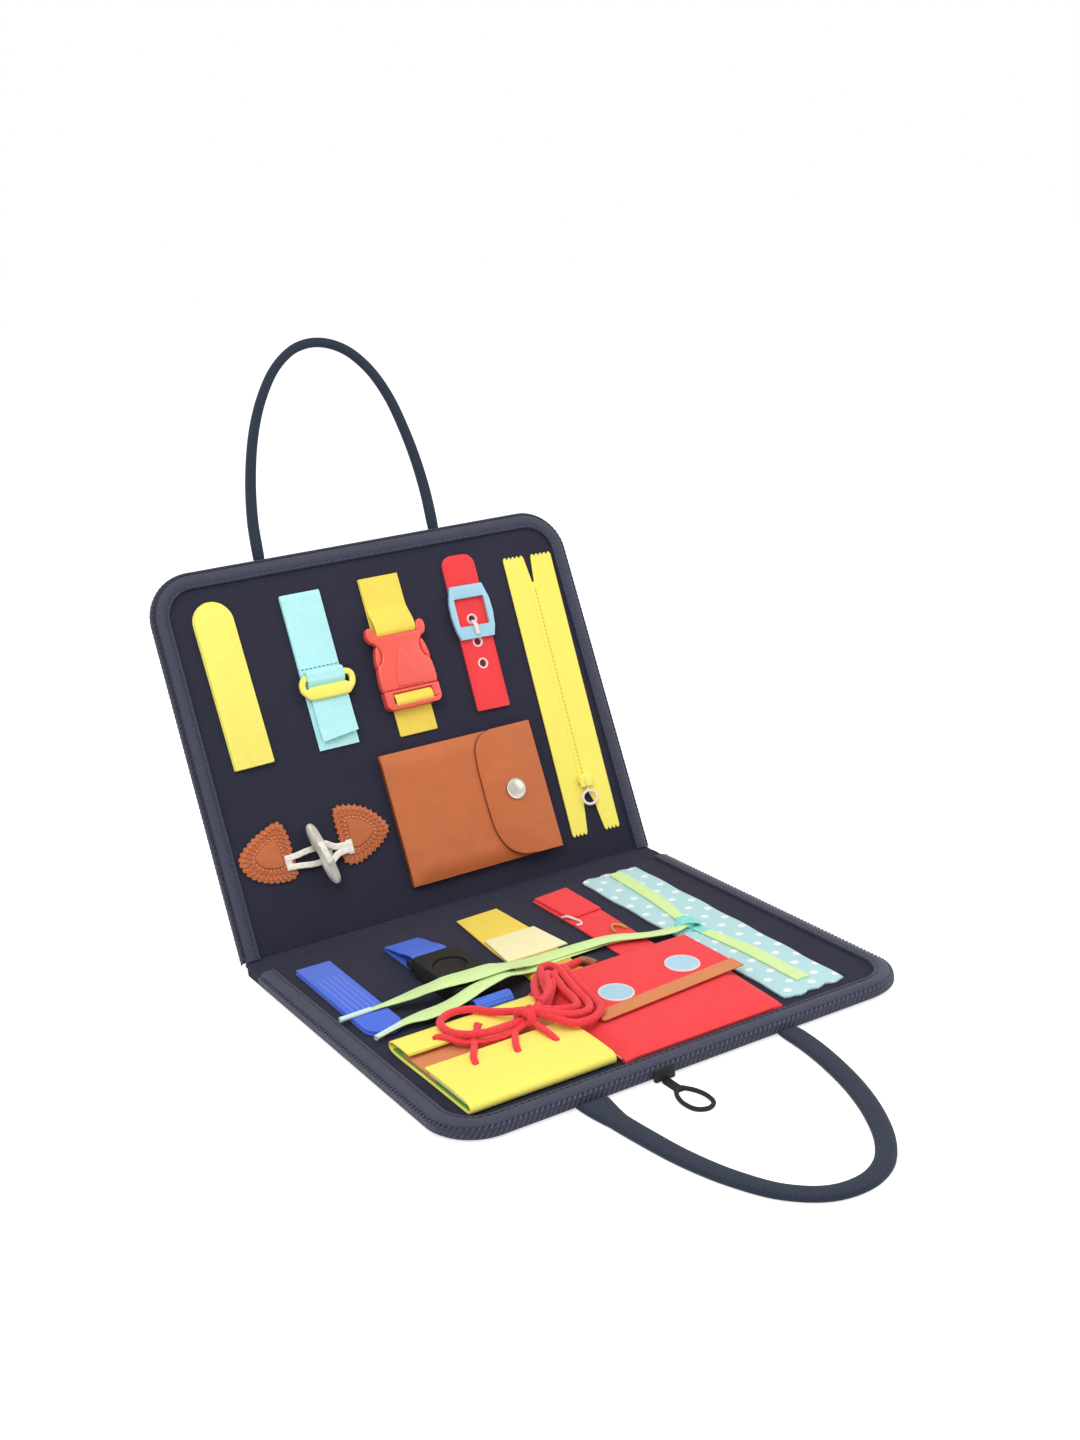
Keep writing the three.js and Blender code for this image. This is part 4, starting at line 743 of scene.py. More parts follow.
def closed_curve(points, steps):
    """A smooth closed outline through points"""
    flat = [Vector((x, y, 0)) for x, y in points]
    line = curve_through(flat[-2:] + flat + flat[:3], steps * 2)
    first = min(range(len(line) // 2), key=lambda i: (line[i] - flat[0]).length)
    again = min(range(len(line) // 2, len(line)), key=lambda i: (line[i] - flat[0]).length)
    return [(p.x, p.y) for p in even_steps(line[first:again + 1], steps)[:-1]]


def inset_line(outline, share, level):
    """A closed line drawn in towards the middle of an outline"""
    middle = Vector((sum(x for x, _ in outline), sum(y for _, y in outline))) / len(outline)
    line = [Vector((*middle.lerp(Vector(p), share), level)) for p in outline]
    return line + line[:1]


def across_stations(width):
    """Stations along the hinge, with y across and z up"""
    side, steps = Vector((0, 1, 0)), 60
    return [(Vector((width * (i / steps - 0.5), 0, 0)), side, LEVEL) for i in range(steps + 1)]


def mirrored(side):
    """One side of an outline, and the same side mirrored on the way back"""
    return side + [(-x, y) for x, y in reversed(side)]


def pouch(name, lo, hi, low_edge, reach, open_side, wall, place, finish, body, slot, node, draw_in=0.0):
    """A flat pocket with one open side, whose front swells from thin sewn edges"""
    bm = bmesh.new()
    size = Vector(hi) - Vector(lo)
    columns, rows = 26, 22
    made = bmesh.ops.create_grid(bm, x_segments=columns, y_segments=rows, size=0.5)["verts"]
    for v in made:
        v.co = Vector((lo[0] + (v.co.x + 0.5) * size.x, lo[1] + (v.co.y + 0.5) * size.y, hi[2]))
    sides = {
        "left": lambda p: p.x - lo[0], "right": lambda p: hi[0] - p.x,
        "near": lambda p: hi[1] - p.y, "far": lambda p: p.y - lo[1],
    }
    closed = [find for side, find in sides.items() if side != open_side]
    for v in made:
        share = min(max(min(find(v.co) for find in closed) / reach, 0.0), 1.0)
        v.co.z = low_edge + (hi[2] - low_edge) * math.sin(share * math.pi / 2) ** 1.3
    edge = [e for e in bm.edges if e.is_boundary]
    walls = [e for e in edge if min(find((e.verts[0].co + e.verts[1].co) / 2) for find in closed) < 0.01]
    for grown in bmesh.ops.extrude_edge_only(bm, edges=walls)["geom"]:
        if isinstance(grown, bmesh.types.BMVert):
            grown.co.z = lo[2]
    round_edges(bm, [e for e in walls if e.is_valid], 0.7, 3)
    for v in bm.verts:
        v.co.x -= draw_in * (v.co.x - lo[0]) / size.x * (hi[1] - v.co.y) / size.y
    pocket = piece(name, bm, place, [finish], body, slot, node, crease=60)
    shell = pocket.modifiers.new("Wall", "SOLIDIFY")
    shell.thickness = wall * MM
    shell.offset = -1.0


def make_case(case):
    """Covers, boards, felt faces, bindings and zip edges of both halves"""
    down, top = -FELT_TOP, 1.5
    zip_inset, tape, play = 2.1, 1.7, 0.3
    face = case.binding / MM
    for name, half, away in HALVES:
        body = name + "_half"
        inner = half_outline(case, zip_inset + tape + play, away)
        back = plate(inner, down + 1.5, 1.2, 0.4)
        join_mesh(back, plate(half_outline(case, zip_inset + face, away), down, 2.1, 0.9, 3))
        piece(name + "_outer_cover", back, half, ["navy"], body, "navy_felt", name + "_cover")
        keep_node(name + "_board", "board")
        front = plate(inner, down + 5.3, 2.0, 0.5)
        piece(name + "_felt_face", front, half, ["navy"], body, "navy_felt", name + "_felt")

        profile = [
            (0.0, down + 2.2), (0.0, top - 2.2), (0.25, top - 1.1), (0.9, top - 0.35), (1.9, top + 0.1),
            (3.6, top + 0.45), (5.2, top + 0.25), (6.4, top - 0.15), (6.9, top + 0.35), (7.6, top + 0.55),
            (8.2, top + 0.3), (face, top - 0.3), (face, 0.32), (tape, 0.32), (tape, down + 1.3),
            (8.1, down + 1.3), (8.1, down + 0.3), (7.0, down), (2.2, down), (0.9, down + 0.35),
            (0.25, down + 1.0),
        ]
        bound = bmesh.new()
        line = rim_line(case, zip_inset, away)
        sweep(bound, line, profile)
        seam = [p + inward * (face - 1.6) + LEVEL * (top + 0.62) for p, inward, _ in line]
        stitches(bound, seam, 3.6, 2.5, 0.3)
        piece(name + "_bound_edge", bound, half, ["binding", "navy_thread"], body, "navy_binding",
              name + "_binding", crease=50)

        low, high = down + 2.1, down + 6.7
        edge = [(0.7, low), (0.25, low + 0.5), (0.25, high - 0.5), (0.7, high), (2.5, high), (2.5, low)]
        strip = bmesh.new()
        outer = rim_line(case, 0.0, away)
        sweep(strip, outer, edge)
        add_coil(strip, outer, low + 3.2, case.coil / MM, away)
        # The upper half's edge takes the darker coil: painted shade that keeps its ribs dim
        coil = "coil" if name == "lower" else "shaded_coil"
        piece(name + "_zip_edge", strip, half, ["zip_tape", coil], body, "zip_cloth", name + "_zip")


def add_coil(bm, line, level, pitch, turn_in):
    """Slanting ribs of the zip's coil on the outer face of an edge"""
    places = [p for p, _, _ in line]
    spots = even_steps([p + inward * 0.85 for p, inward, _ in line], int(path_length(places) / pitch))
    for p, q in zip(spots, spots[1:]):
        run = (q - p).normalized()
        side = run.cross(LEVEL)
        lean = (LEVEL + run * 0.75 + side * (0.2 * turn_in)).normalized()
        turn = Matrix((run, lean, side)).transposed()
        middle = (p + q) / 2 + LEVEL * level
        for v in bead(bm, (0, 0, 0), Matrix(), (1, 1, 1), 1):
            long = math.copysign(abs(v.co.y) ** 0.4, v.co.y)
            v.co = middle + turn @ Vector((v.co.x * 0.8, long * 3.5, v.co.z * 0.85))


def make_spine(case):
    """The cloth spine, creased along both folds"""
    width = case.width / MM - 4.2
    near, far, thick = HINGE_GAP, SPINE_WIDTH - HINGE_GAP, 6.9
    profile = [
        (near, 0.8), (near, thick - 1.4), (near + 0.5, thick - 0.5), (near + 1.8, thick),
        (near + 4.5, thick - 0.1), (SPINE_WIDTH / 2, thick + 0.25), (far - 4.5, thick - 0.1),
        (far - 1.8, thick), (far - 0.5, thick - 0.5), (far, thick - 1.4), (far, 0.8), (far - 0.8, 0.0),
        (near + 0.8, 0.0),
    ]
    bm = bmesh.new()
    sweep(bm, across_stations(width), profile)
    for y in (near + 3.4, far - 3.4):
        stitches(bm, [(-width / 2 + 3, y, thick + 0.02), (width / 2 - 3, y, thick + 0.02)], 3.6, 2.5, 0.2)
    piece("cloth_spine", bm, FLOOR, ["navy", "navy_thread"], "spine", "navy_felt", "spine", crease=50)
    near_roll = [
        (2.4, 6.6), (1.2, 7.0), (0.2, 6.9), (-0.8, 6.5), (-1.2, 5.4), (-1.0, 4.0), (0.4, 3.6), (2.2, 5.0),
    ]
    far_roll = [
        (17.2, 6.8), (18.4, 7.3), (19.4, 7.7), (20.2, 7.9), (21.0, 7.5), (22.4, 6.2), (23.2, 4.6),
        (22.0, 3.8), (20.0, 4.6), (18.0, 5.4),
    ]
    for name, roll, y, run, body in (
        ("near", near_roll, 0.0, 1, "lower_half"),
        ("far", far_roll, SPINE_WIDTH, -1, "upper_half"),
    ):
        fold = bmesh.new()
        sweep(fold, across_stations(width - 0.6), roll)
        made = piece(f"{name}_fold_cloth", fold, FLOOR, ["navy"], None, "navy_felt", crease=60)
        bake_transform(made)


# Middle lines of the handles' arches, out from the free edge
FRONT_ARCH = [
    (-65, 0), (-65.4, 16), (-63.4, 42), (-59.6, 70), (-52.5, 96), (-42, 117), (-27, 129.6), (-10, 131.8),
    (5, 126), (18, 113), (30, 93), (40, 69), (47, 44), (51.4, 20), (53, 0),
]
BACK_ARCH = [
    (-65, 0), (-62.6, 24), (-56.8, 51), (-48, 77), (-37.6, 97), (-24.6, 113.5), (-9, 123.6), (7, 125.2),
    (23, 119), (36, 105.5), (45, 87), (50.2, 66), (53.2, 45), (54.2, 23), (53, 0),
]


def make_handles():
    """Both strap handles, with a stitched line along each side"""
    start, height = 228.3, 132.0
    for name, half, arch, away, wide, thick, level, lean in (
        ("front", LOWER, FRONT_ARCH, -1, 12.0, 4.2, 2.2 - FELT_TOP, 0.0),
        ("back", UPPER, BACK_ARCH, 1, 7.0, 5.0, 3.3 - FELT_TOP, 9.0),
    ):
        rise = [(x, away * (start + y), level + lean * (y / height) ** 1.6) for x, y in arch]
        line = curve_through(rise, 96)
        bm = bmesh.new()
        stations = flat_stations(line)
        sections = []
        for i in range(len(line)):
            foot = min(min(i, len(line) - 1 - i) / 2.5, 1.0)
            full = 0.45 + 0.55 * math.sin(foot * math.pi / 2)
            slim = 1.0 - 0.18 * math.sin(math.pi * i / (len(line) - 1))
            tab = 0.5 * max(0.0, 1.0 - i / 7.0) if name == "front" else 0.0
            sections.append(cushion_section(wide * (slim + tab), thick * full))
        sweep(bm, stations, sections)
        for side in (-1, 1):
            row = [p + across * side * (wide * 0.82 / 2 - 1.5) + up * (thick / 2 - 0.3)
                   for p, across, up in stations[3:-3]]
            stitches(bm, row, 3.6, 2.5, 0.26)
        piece(name + "_strap_handle", bm, half, ["strap", "navy_thread"], name + "_handle", "navy_felt",
              name + "_handle", crease=60)


def make_edge_pull():
    """Slider of the edge zip and its teardrop pull"""
    x, front = -23.94, -228.0
    half = placed(LOWER, x, front)
    body = bmesh.new()
    middle = 4.4 - FELT_TOP
    block(body, (-6.0, -2.9, middle - 3.5), (6.0, -0.3, middle + 3.5), 0.9, 3)
    block(body, (-3.2, -3.3, middle - 0.9), (3.2, -2.6, middle + 0.9), 0.4)
    piece("edge_zip_slider", body, half, ["black"], "edge_slider", "black_plastic", "edge_slider")
    low = -FELT_TOP
    start = -3.2
    pull = bmesh.new()
    strap_line = [Vector((0, start - 12.0 * i / 8, low + 0.9)) for i in range(9)]
    sweep(pull, flat_stations(strap_line), band_section(5.2, 1.7))
    shares = [(0.25, 0.1), (0.8, 0.35), (1, 0.62), (0.75, 0.9), (0, 1)]
    side = [(u * 6.6, v * 27.0) for u, v in shares]
    ring = side + [(-u, v) for u, v in reversed(side[:-1])]
    loop = curve_through([(u, start - 7.5 - v, low + 1.25) for u, v in ring], 48)
    sweep(pull, cord_stations(loop), ring_section(1.2, 12))
    stitches(pull, [(0, start - 3, low + 1.85), (0, start - 10, low + 1.85)], 2.4, 1.6, 0.3, finish=0)
    piece("teardrop_pull", pull, half, ["black"], "edge_pull", "black_plastic", "edge_pull", crease=50)


# Upper half

def make_touch_strips():
    """Hook-and-loop strips: a sewn base and a top layer that peels"""
    for name, place, width, away, finish, slot, half in (
        ("yellow", placed(UPPER, -103.04, 108.0, 0, 1), 25.0, 1, "lemon_loop", "lemon_felt", "upper_half"),
        ("blue", placed(LOWER, -111.44, -13.0, 0, -1), 21.5, -1, "blue_loop", "blue_webbing", "lower_half"),
    ):
        for layer, level, step, body in (
            ("base", 0.3, 0.0, half), ("flap", 1.8, 0.8, name + "_touch_flap"),
        ):
            outline = slab(width - step, 0, 100.0 - step, 1.0, (width - step) / 2 - 0.02)
            bm = plate([(x, away * y) for x, y in outline], level, 1.2, 0.35)
            if body == "blue_touch_flap":
                for x in (-6.4, -3.2, 0.0, 3.2, 6.4):
                    line = even_steps([Vector((x, -20.0, 3.02)), Vector((x, -75.0 + abs(x), 3.02))], 20)
                    sweep(bm, flat_stations(line), cushion_section(0.55, 0.22), 1)
            piece(f"{name}_hook_tape_{layer}", bm, place, [finish, "blue_line"], body, slot,
                  f"{name}_touch_{layer}")


def make_glide():
    """Doubled cyan webbing, its slide buckle and the tail woven over the centre bar"""
    place = placed(UPPER, -48.44, 0)
    base = folded_webbing([
        (108, 0.8), (150, 0.8), (196, 0.8), (202.3, 0.8), (203.0, 1.45), (202.3, 2.1), (196, 2.1),
        (147.5, 2.1),
    ], 26.0, 1.0, 90)
    # Dark navy stitches across the base webbing beside the tail's fold: a painted shadow of the slot under
    # the fold, drawn as a seam
    stitches(base, [(-12.4, 157.2, 2.62), (12.4, 157.2, 2.62)], 2.6, 2.7, 0.3)
    piece("cyan_base_webbing", base, place, ["cyan", "navy_thread"], "upper_half", "cyan_webbing",
          "glide_webbing")
    moving = placed(UPPER, -47.14, 0)
    tail = folded_webbing([
        (155.4, 3.4), (154.9, 4.6), (154.2, 5.6), (151.0, 5.65), (148.4, 5.55), (146.0, 3.7), (144.0, 3.4),
        (130.0, 3.4), (114.0, 3.5),
    ], 24.0, 1.0, 80)
    for v in tail.verts:
        drop = max(0.0, (122 - v.co.y) / 8)
        v.co.y += drop * v.co.x * 0.12
        v.co.z += 0.8 * max(0.0, (130 - v.co.y) / 16) ** 2
    piece("cyan_tail_webbing", tail, moving, ["cyan"], "glide_buckle", "cyan_webbing", "glide_tail")
    line = curve_through([
        (-11.0, 151.4, 4.45), (-13.4, 151.2, 4.4), (-15.2, 149.4, 4.3), (-15.9, 146.6, 4.3),
        (-15.4, 143.4, 4.5), (-12.5, 141.9, 5.0), (-6, 141.6, 5.1), (6, 141.6, 5.1),
        (12.5, 141.9, 5.0), (15.4, 143.2, 4.5), (16.6, 146.6, 4.3), (16.0, 149.8, 4.3),
        (13.6, 151.2, 4.4), (11.0, 151.4, 4.45),
    ], 90)
    frame_mesh = bmesh.new()
    sections = []
    bar_y = 148
    for p in line:
        flat = min(max((15.0 - abs(p.x)) / 3.0, 0.0), 1.0)
        if p.y > bar_y:
            sections.append(cushion_section(3.8, 3.2 - 2.1 * flat))
        else:
            sections.append(cushion_section(3.8 + 4.2 * flat, 3.2 - 0.4 * flat))
    sweep(frame_mesh, flat_stations(line), sections)
    block(frame_mesh, (-12.0, 149.6, 3.95), (12.0, 152.8, 5.0), 0.45)
    piece("lemon_slide_buckle", frame_mesh, moving, ["yellow_plastic"], "glide_buckle", "yellow_plastic",
          "glide_buckle", crease=60)


def make_release():
    """Yellow webbing and the red side-release buckle"""
    place = placed(UPPER, 4.06, 133.0)
    web = folded_webbing([
        (71, 0.9), (40, 0.9), (35.5, 0.9), (34.1, 2.2), (34.0, 5.8), (35.3, 7.4), (40.0, 7.4), (46.0, 4.8),
        (50.5, 2.8), (60, 2.4), (71, 2.4),
    ], 26.5, 1.2, 90)
    piece("yellow_loop_webbing", web, place, ["yellow"], "upper_half", "yellow_webbing", "release_webbing")
    tail = plate(slab(25.5, -28.0, 0.3, 1.0, 1.0), 0.3, 1.2, 0.4)
    piece("yellow_tail_webbing", tail, place, ["yellow"], "upper_half", "yellow_webbing", "release_tail")
    shell = plate(mirrored([
        (18.2, 0.0), (19.0, 3.0), (18.9, 8.0), (18.5, 12.5), (17.4, 16.4), (14.8, 17.6), (13.5, 20.5),
        (13.2, 24.0), (13.9, 26.6), (15.2, 28.6), (16.8, 31.0), (17.6, 33.6),
    ]), 1.8, 6.0, 1.6, 4)
    arm = [
        (18.2, 15.2), (18.1, 19.0), (17.2, 23.6), (16.0, 27.4), (15.0, 28.0), (14.1, 26.4), (13.8, 23.4),
        (14.0, 20.4), (15.4, 17.6),
    ]
    for away in (1, -1):
        join_mesh(shell, plate([(away * x, y) for x, y in arm], 2.3, 5.0, 1.3, 4))
        ear = [(away * (16.7 + 3.3 * math.cos(turn)), 35.0 + 5.0 * math.sin(turn) + 0.8 * math.cos(turn))
               for turn in (math.tau * i / 24 for i in range(24))]
        join_mesh(shell, plate(ear, 1.9, 5.8, 1.2, 4))
    wedge = mirrored([(8.6, 1.4), (7.6, 8.0), (5.4, 15.0), (3.6, 20.0), (2.6, 23.0), (1.2, 24.6)])
    join_mesh(shell, plate(wedge, 7.0, 1.85, 0.95, 4))
    piece("red_buckle_socket", shell, place, ["red_plastic"], "upper_half", "red_plastic",
          "release_female", crease=50)
    dressed("red_buckle_clip", place, "red_plastic", "release_male", "red_plastic", "release_male", 0.7, 3)
    band = folded_webbing([
        (-9.9, 3.0), (-9.6, 7.4), (-8.2, 8.5), (-5.6, 8.3), (-3.6, 7.2), (-2.8, 5.4), (-2.9, 3.0),
    ], 25.2, 1.1, 50)
    piece("yellow_slot_webbing", band, place, ["yellow"], "release_male", "yellow_webbing")


def make_belt():
    """Red belt with eyelets, its frame buckle and prong"""
    low, high, share_at_middle = 109.0, 208.0, 0.76
    x = 58.94 + high * share_at_middle * math.sin(math.radians(LEAN_DEGREES))
    place = placed(UPPER, x, 0, 0, LEAN_DEGREES)
    levels = (166.5, 152.0, 138.0)
    holes = [arc(0, y, 2.5, 0, 345, 23) for y in levels]
    strap = plate(slab(22.5, low, high, 1.0, 7.0), 0.3, 1.8, 0.5, 2, holes)
    for side in (-9.8, 9.8):
        stitches(strap, [(side, low + 3, 2.12), (side, high - 5, 2.12)], 3.0, 2.0, 0.22)
    piece("red_belt", strap, place, ["red", "red_thread"], "upper_half", "red_felt", "belt_strap")
    rims = bmesh.new()
    rim = [
        (2.4, 0.5), (2.4, 2.3), (2.75, 2.5), (3.2, 2.45), (3.5, 2.12), (2.9, 2.05), (2.45, 1.6), (2.4, 0.5),
    ]
    for y in levels:
        lathe(rims, rim, (0, y, 0), 24)
        # A dark red disc at the foot of each eyelet: painted shade inside the hole
        lathe(rims, [(0, 0.5), (1.5, 0.52), (2.4, 0.6)], (0, y, 0), 24, finish=1)
    piece("belt_eyelets", rims, place, ["pale_plastic", "eyelet_shade_red"], "upper_half", "sky_plastic")
    dressed("blue_frame_buckle", place, "sky_plastic", "belt_frame", "sky_plastic", "belt_frame", 0.6, 3)
    dressed("belt_buckle_prong", place, "pale_plastic", "belt_prong", "steel", "belt_prong", 0.35, 2)


def pinked(left, right, y, reach, teeth):
    """A pinked edge from left to right: rounded teeth that reach along y"""
    points = []
    for i in range(teeth):
        for share, rise in ((0.0, 0.0), (0.25, 0.8), (0.5, 1.0), (0.75, 0.8)):
            points.append((left + (right - left) * (i + share) / teeth, y + reach * rise))
    points.append((right, y))
    return points


def make_zipper():
    """Lemon zipper: pinked tape ends, its coil under two lips, slider and ring"""
    place = placed(UPPER, 104.16, 0, 0, LEAN_DEGREES)
    low, high, half, notch, bite = 17.5, 200.0, 17.5, 20.0, 1.9
    foot_slit = mirrored([(-5.2, low + 10), (-4.0, low + 19), (-1.0, low + 27)])
    outline = (
        pinked(-half, -6.4, low + bite, -bite, 4)
        + foot_slit
        + pinked(6.4, half, low + bite, -bite, 4)
        + pinked(half, 2.6, high - bite, bite, 5)
        + [(0.7, high - notch + 2), (-0.7, high - notch + 2)]
        + pinked(-2.6, -half, high - bite, bite, 5)
    )
    tape = plate(outline, 0.3, 0.9, 0.25, 1)
    crown, foot, steps, pitch = high - notch, low + 30, 70, 2.6
    for side in (-1.75, 1.75):
        line = [Vector((side, foot + (crown - foot) * i / steps, 1.05)) for i in range(steps + 1)]
        sweep(tape, flat_stations(line), cushion_section(3.3, 1.3))
    for i in range(int((crown - foot) / pitch)):
        bead(tape, (0, foot + pitch * (i + 0.5), 1.45), Matrix(), (1.1, 0.9, 0.4), 1)
    piece("lemon_zip_tape", tape, place, ["lemon", "lemon_thread"], "upper_half", "lemon_felt",
          "zipper_tape")
    slider = bmesh.new()
    block(slider, (-4.6, 46.8, 2.9), (4.6, 55.4, 4.5), 0.75, 3)
    block(slider, (-5.2, 50.0, 1.5), (-3.9, 54.6, 3.6), 0.5)
    block(slider, (3.9, 50.0, 1.5), (5.2, 54.6, 3.6), 0.5)
    block(slider, (-1.2, 47.0, 4.1), (1.2, 53.2, 5.3), 0.5)
    piece("lemon_zip_slider", slider, place, ["yellow_plastic"], "zipper_slider", "lemon_felt",
          "zipper_slider")
    ring = bmesh.new()
    turns = [math.tau * i / 40 for i in range(41)]
    circle = [Vector((5.0 * math.sin(a), 40.0 + 4.3 * math.cos(a), 3.5)) for a in turns]
    sweep(ring, flat_stations(circle), cushion_section(1.7, 1.3), capped=False)
    block(ring, (-1.0, 44.2, 2.95), (1.0, 46.4, 4.05), 0.4)
    piece("zip_ring_pull", ring, place, ["pale_plastic"], "zipper_ring", "steel", "zipper_ring",
          crease=60)


def make_brown_pouch():
    """Tan leather pouch with a snap flap"""
    pouch("tan_pouch", (-27.0, 15.5, 0.3), (73.0, 96.5, 7.9), 4.6, 9.0, "right", 1.0, UPPER, "tan",
          "upper_half", "tan_leather", "brown_pouch")
    side = curve_through([
        (47.0, 96.4, 0), (39.5, 94.0, 0), (34.6, 88.5, 0), (32.4, 78.0, 0), (31.9, 64.0, 0),
        (31.9, 46.0, 0), (33.0, 34.0, 0), (37.6, 23.5, 0), (46.0, 17.4, 0), (58.0, 15.6, 0),
    ], 70)
    flap = [(74.6, 15.5 + 81.0 * i / 12) for i in range(13)] + [(p.x, p.y) for p in side]
    lid = plate(flap, 8.1, 1.5, 0.6, 3)
    block(lid, (73.2, 15.8, 1.2), (74.7, 96.2, 9.2), 0.6, 3)
    piece("tan_pouch_flap", lid, UPPER, ["tan"], "brown_flap", "tan_leather", "brown_flap")
    # A thin dark brown cord along the flap's curved edge: painted shadow under that edge
    rim = round_cord([p + LEVEL * 8.1 for p in side], 0.35, 8)
    piece("flap_edge_shadow", rim, UPPER, ["painted_shadow_brown"], "brown_flap", "tan_leather")
    cap = bmesh.new()
    lathe(cap, [
        (0, 11.4), (1.6, 11.36), (3.2, 11.15), (4.6, 10.75), (5.4, 10.5), (5.9, 10.75), (6.4, 10.75),
        (6.6, 10.4), (6.5, 9.4), (0, 9.4),
    ], (53.0, 57.0, 0), 36)
    piece("pouch_snap_cap", cap, UPPER, ["steel"], "brown_flap", "steel", "brown_snap")


def scalloped(outline):
    """A closed outline with round scallops standing out from it"""
    pitch, depth, rises = 3.6, 1.7, (0.2, 0.75, 0.96, 1.0, 0.96, 0.75)
    line = [Vector((x, y, 0)) for x, y in outline]
    line.append(line[0])
    spots = even_steps(line, round(path_length(line) / pitch) * len(rises))
    points = []
    for i, (p, run) in enumerate(zip(spots[:-1], runs(spots))):
        p = p + Vector((run.y, -run.x, 0)) * ((rises[i % len(rises)] - 0.7) * depth)
        points.append((p.x, p.y))
    return points


def make_toggle():
    """Scalloped leather patches, the horn toggle and its cords"""
    for side, points in (
        ("left", [
            (-95.6, 40.6), (-94.8, 52.0), (-95.2, 66.0), (-98.6, 73.4), (-108.0, 71.0), (-119.0, 65.5),
            (-127.0, 57.4), (-123.6, 47.4), (-112.0, 40.6)]),
        ("right", [
            (-64.4, 41.2), (-64.4, 56.0), (-63.0, 73.2), (-54.0, 73.4), (-44.0, 69.6), (-35.4, 61.4),
            (-32.0, 54.6), (-37.2, 47.6), (-48.0, 41.4), (-58.0, 38.4)]),
    ):
        outline = closed_curve(points, 120)
        bm = plate(scalloped(outline), 0.3, 1.3, 0.3)
        # Rows of raised whip stitches: the rows in the patch's own tan are plain ridges, the rows in paler
        # thread are real ridges whose pale colour is a painted highlight
        for share, height, pitch, long, wide, tall, finish in (
            (0.83, 1.6, 3.0, 2.9, 2.1, 0.8, 0), (0.88, 2.0, 3.0, 1.3, 0.9, 0.5, 1),
            (0.66, 1.6, 2.7, 2.2, 1.9, 0.85, 0), (0.55, 1.75, 2.3, 1.2, 1.3, 0.7, 1),
        ):
            whip_stitches(bm, inset_line(outline, share, height), pitch, long, wide, tall, finish)
        x, y = (sum(c) / len(outline) for c in zip(*outline))
        crown = [(x + (px - x) * 0.48, y + (py - y) * 0.48) for px, py in outline]
        join_mesh(bm, plate(crown, 1.3, 1.5, 1.2, 4))
        piece(f"toggle_leather_patch_{side}", bm, UPPER, ["patch", "tan_thread_highlight"], "upper_half",
              "tan_leather", f"toggle_patch_{side}")
    x, y, radius, reach = -78.54, 49.0, 3.8, 19.5
    level = 3.2 + radius
    bar = bmesh.new()
    shares = [
        (0, 0.78), (0.06, 0.78), (0.14, 0.82), (0.24, 0.98), (0.38, 1.0), (0.6, 0.95), (0.75, 0.86),
        (0.86, 0.74), (0.94, 0.55), (0.985, 0.3), (1, 0),
    ]
    half = [(r * radius, along * reach) for along, r in shares]
    lying = Matrix.Rotation(math.radians(-90), 4, "X")
    lathe(bar, [(r, -z) for r, z in reversed(half[1:])] + half, (0, 0, 0), 32, lying)
    turned = placed(UPPER, x, y, level, 13.0)
    piece("horn_toggle", bar, turned, ["horn"], "toggle_bar", "horn", "toggle_bar", crease=60)
    band = bmesh.new()
    side = [(0, 6.6, 1.4), (0, 6.5, 2.8), (0, 5.6, 3.9), (0, 3.0, 4.3)]
    over = side + [(0, 0, 4.3)] + [(0, -along, up) for _, along, up in reversed(side)]
    sweep(band, fold_stations(curve_through(over, 40)), cushion_section(3.8, 2.0))
    piece("toggle_top_cord", band, turned, ["cream_cord"], "toggle_bar", "cream_felt", crease=60)
    cords = placed(UPPER, x, y)
    left_end, right_end = -21.0, 20.0
    left = curve_through([
        (left_end, 2.6, 2.4), (-14, 3.2, 2.9), (-7, 4.2, 2.8), (-1, 4.2, 1.7), (4.6, 2.6, 1.6),
        (6.2, 0, 1.6), (4.6, -2.6, 1.6), (-1, -4.2, 1.7), (-7, -4.2, 2.8), (-14, -3.2, 2.9),
        (left_end, -2.6, 2.4),
    ], 90)
    bm = bmesh.new()
    sweep(bm, flat_stations(left), cushion_section(3.6, 1.9))
    block(bm, (left_end - 1.0, -4.6, 1.5), (left_end + 3.0, 4.6, 3.0), 0.6, 3)
    piece("toggle_cord_loop_left", bm, cords, ["cream_cord"], "upper_half", "cream_felt",
          "toggle_cord_left", crease=60)
    bm = bmesh.new()
    for run in (
        [(right_end, 1.6, 2.5), (14.5, 1.6, 3.3), (9.5, 2.2, 4.0), (5.8, 3.9, 5.2), (2.6, 5.4, 6.6),
         (-0.6, 5.8, 7.2)],
        [(right_end, -1.6, 2.5), (15, -1.6, 3.3), (10.5, -2.2, 4.0), (7.0, -3.9, 5.2), (4.2, -5.6, 6.6),
         (1.8, -6.4, 7.2)],
    ):
        sweep(bm, flat_stations(curve_through(run, 40)), cushion_section(4.0, 2.0))
    block(bm, (right_end - 3.0, -4.4, 1.6), (right_end + 1.0, 4.4, 3.2), 0.6, 3)
    piece("toggle_cord_loop_right", bm, cords, ["cream_cord"], "upper_half", "cream_felt",
          "toggle_cord_right", crease=60)


# Lower half

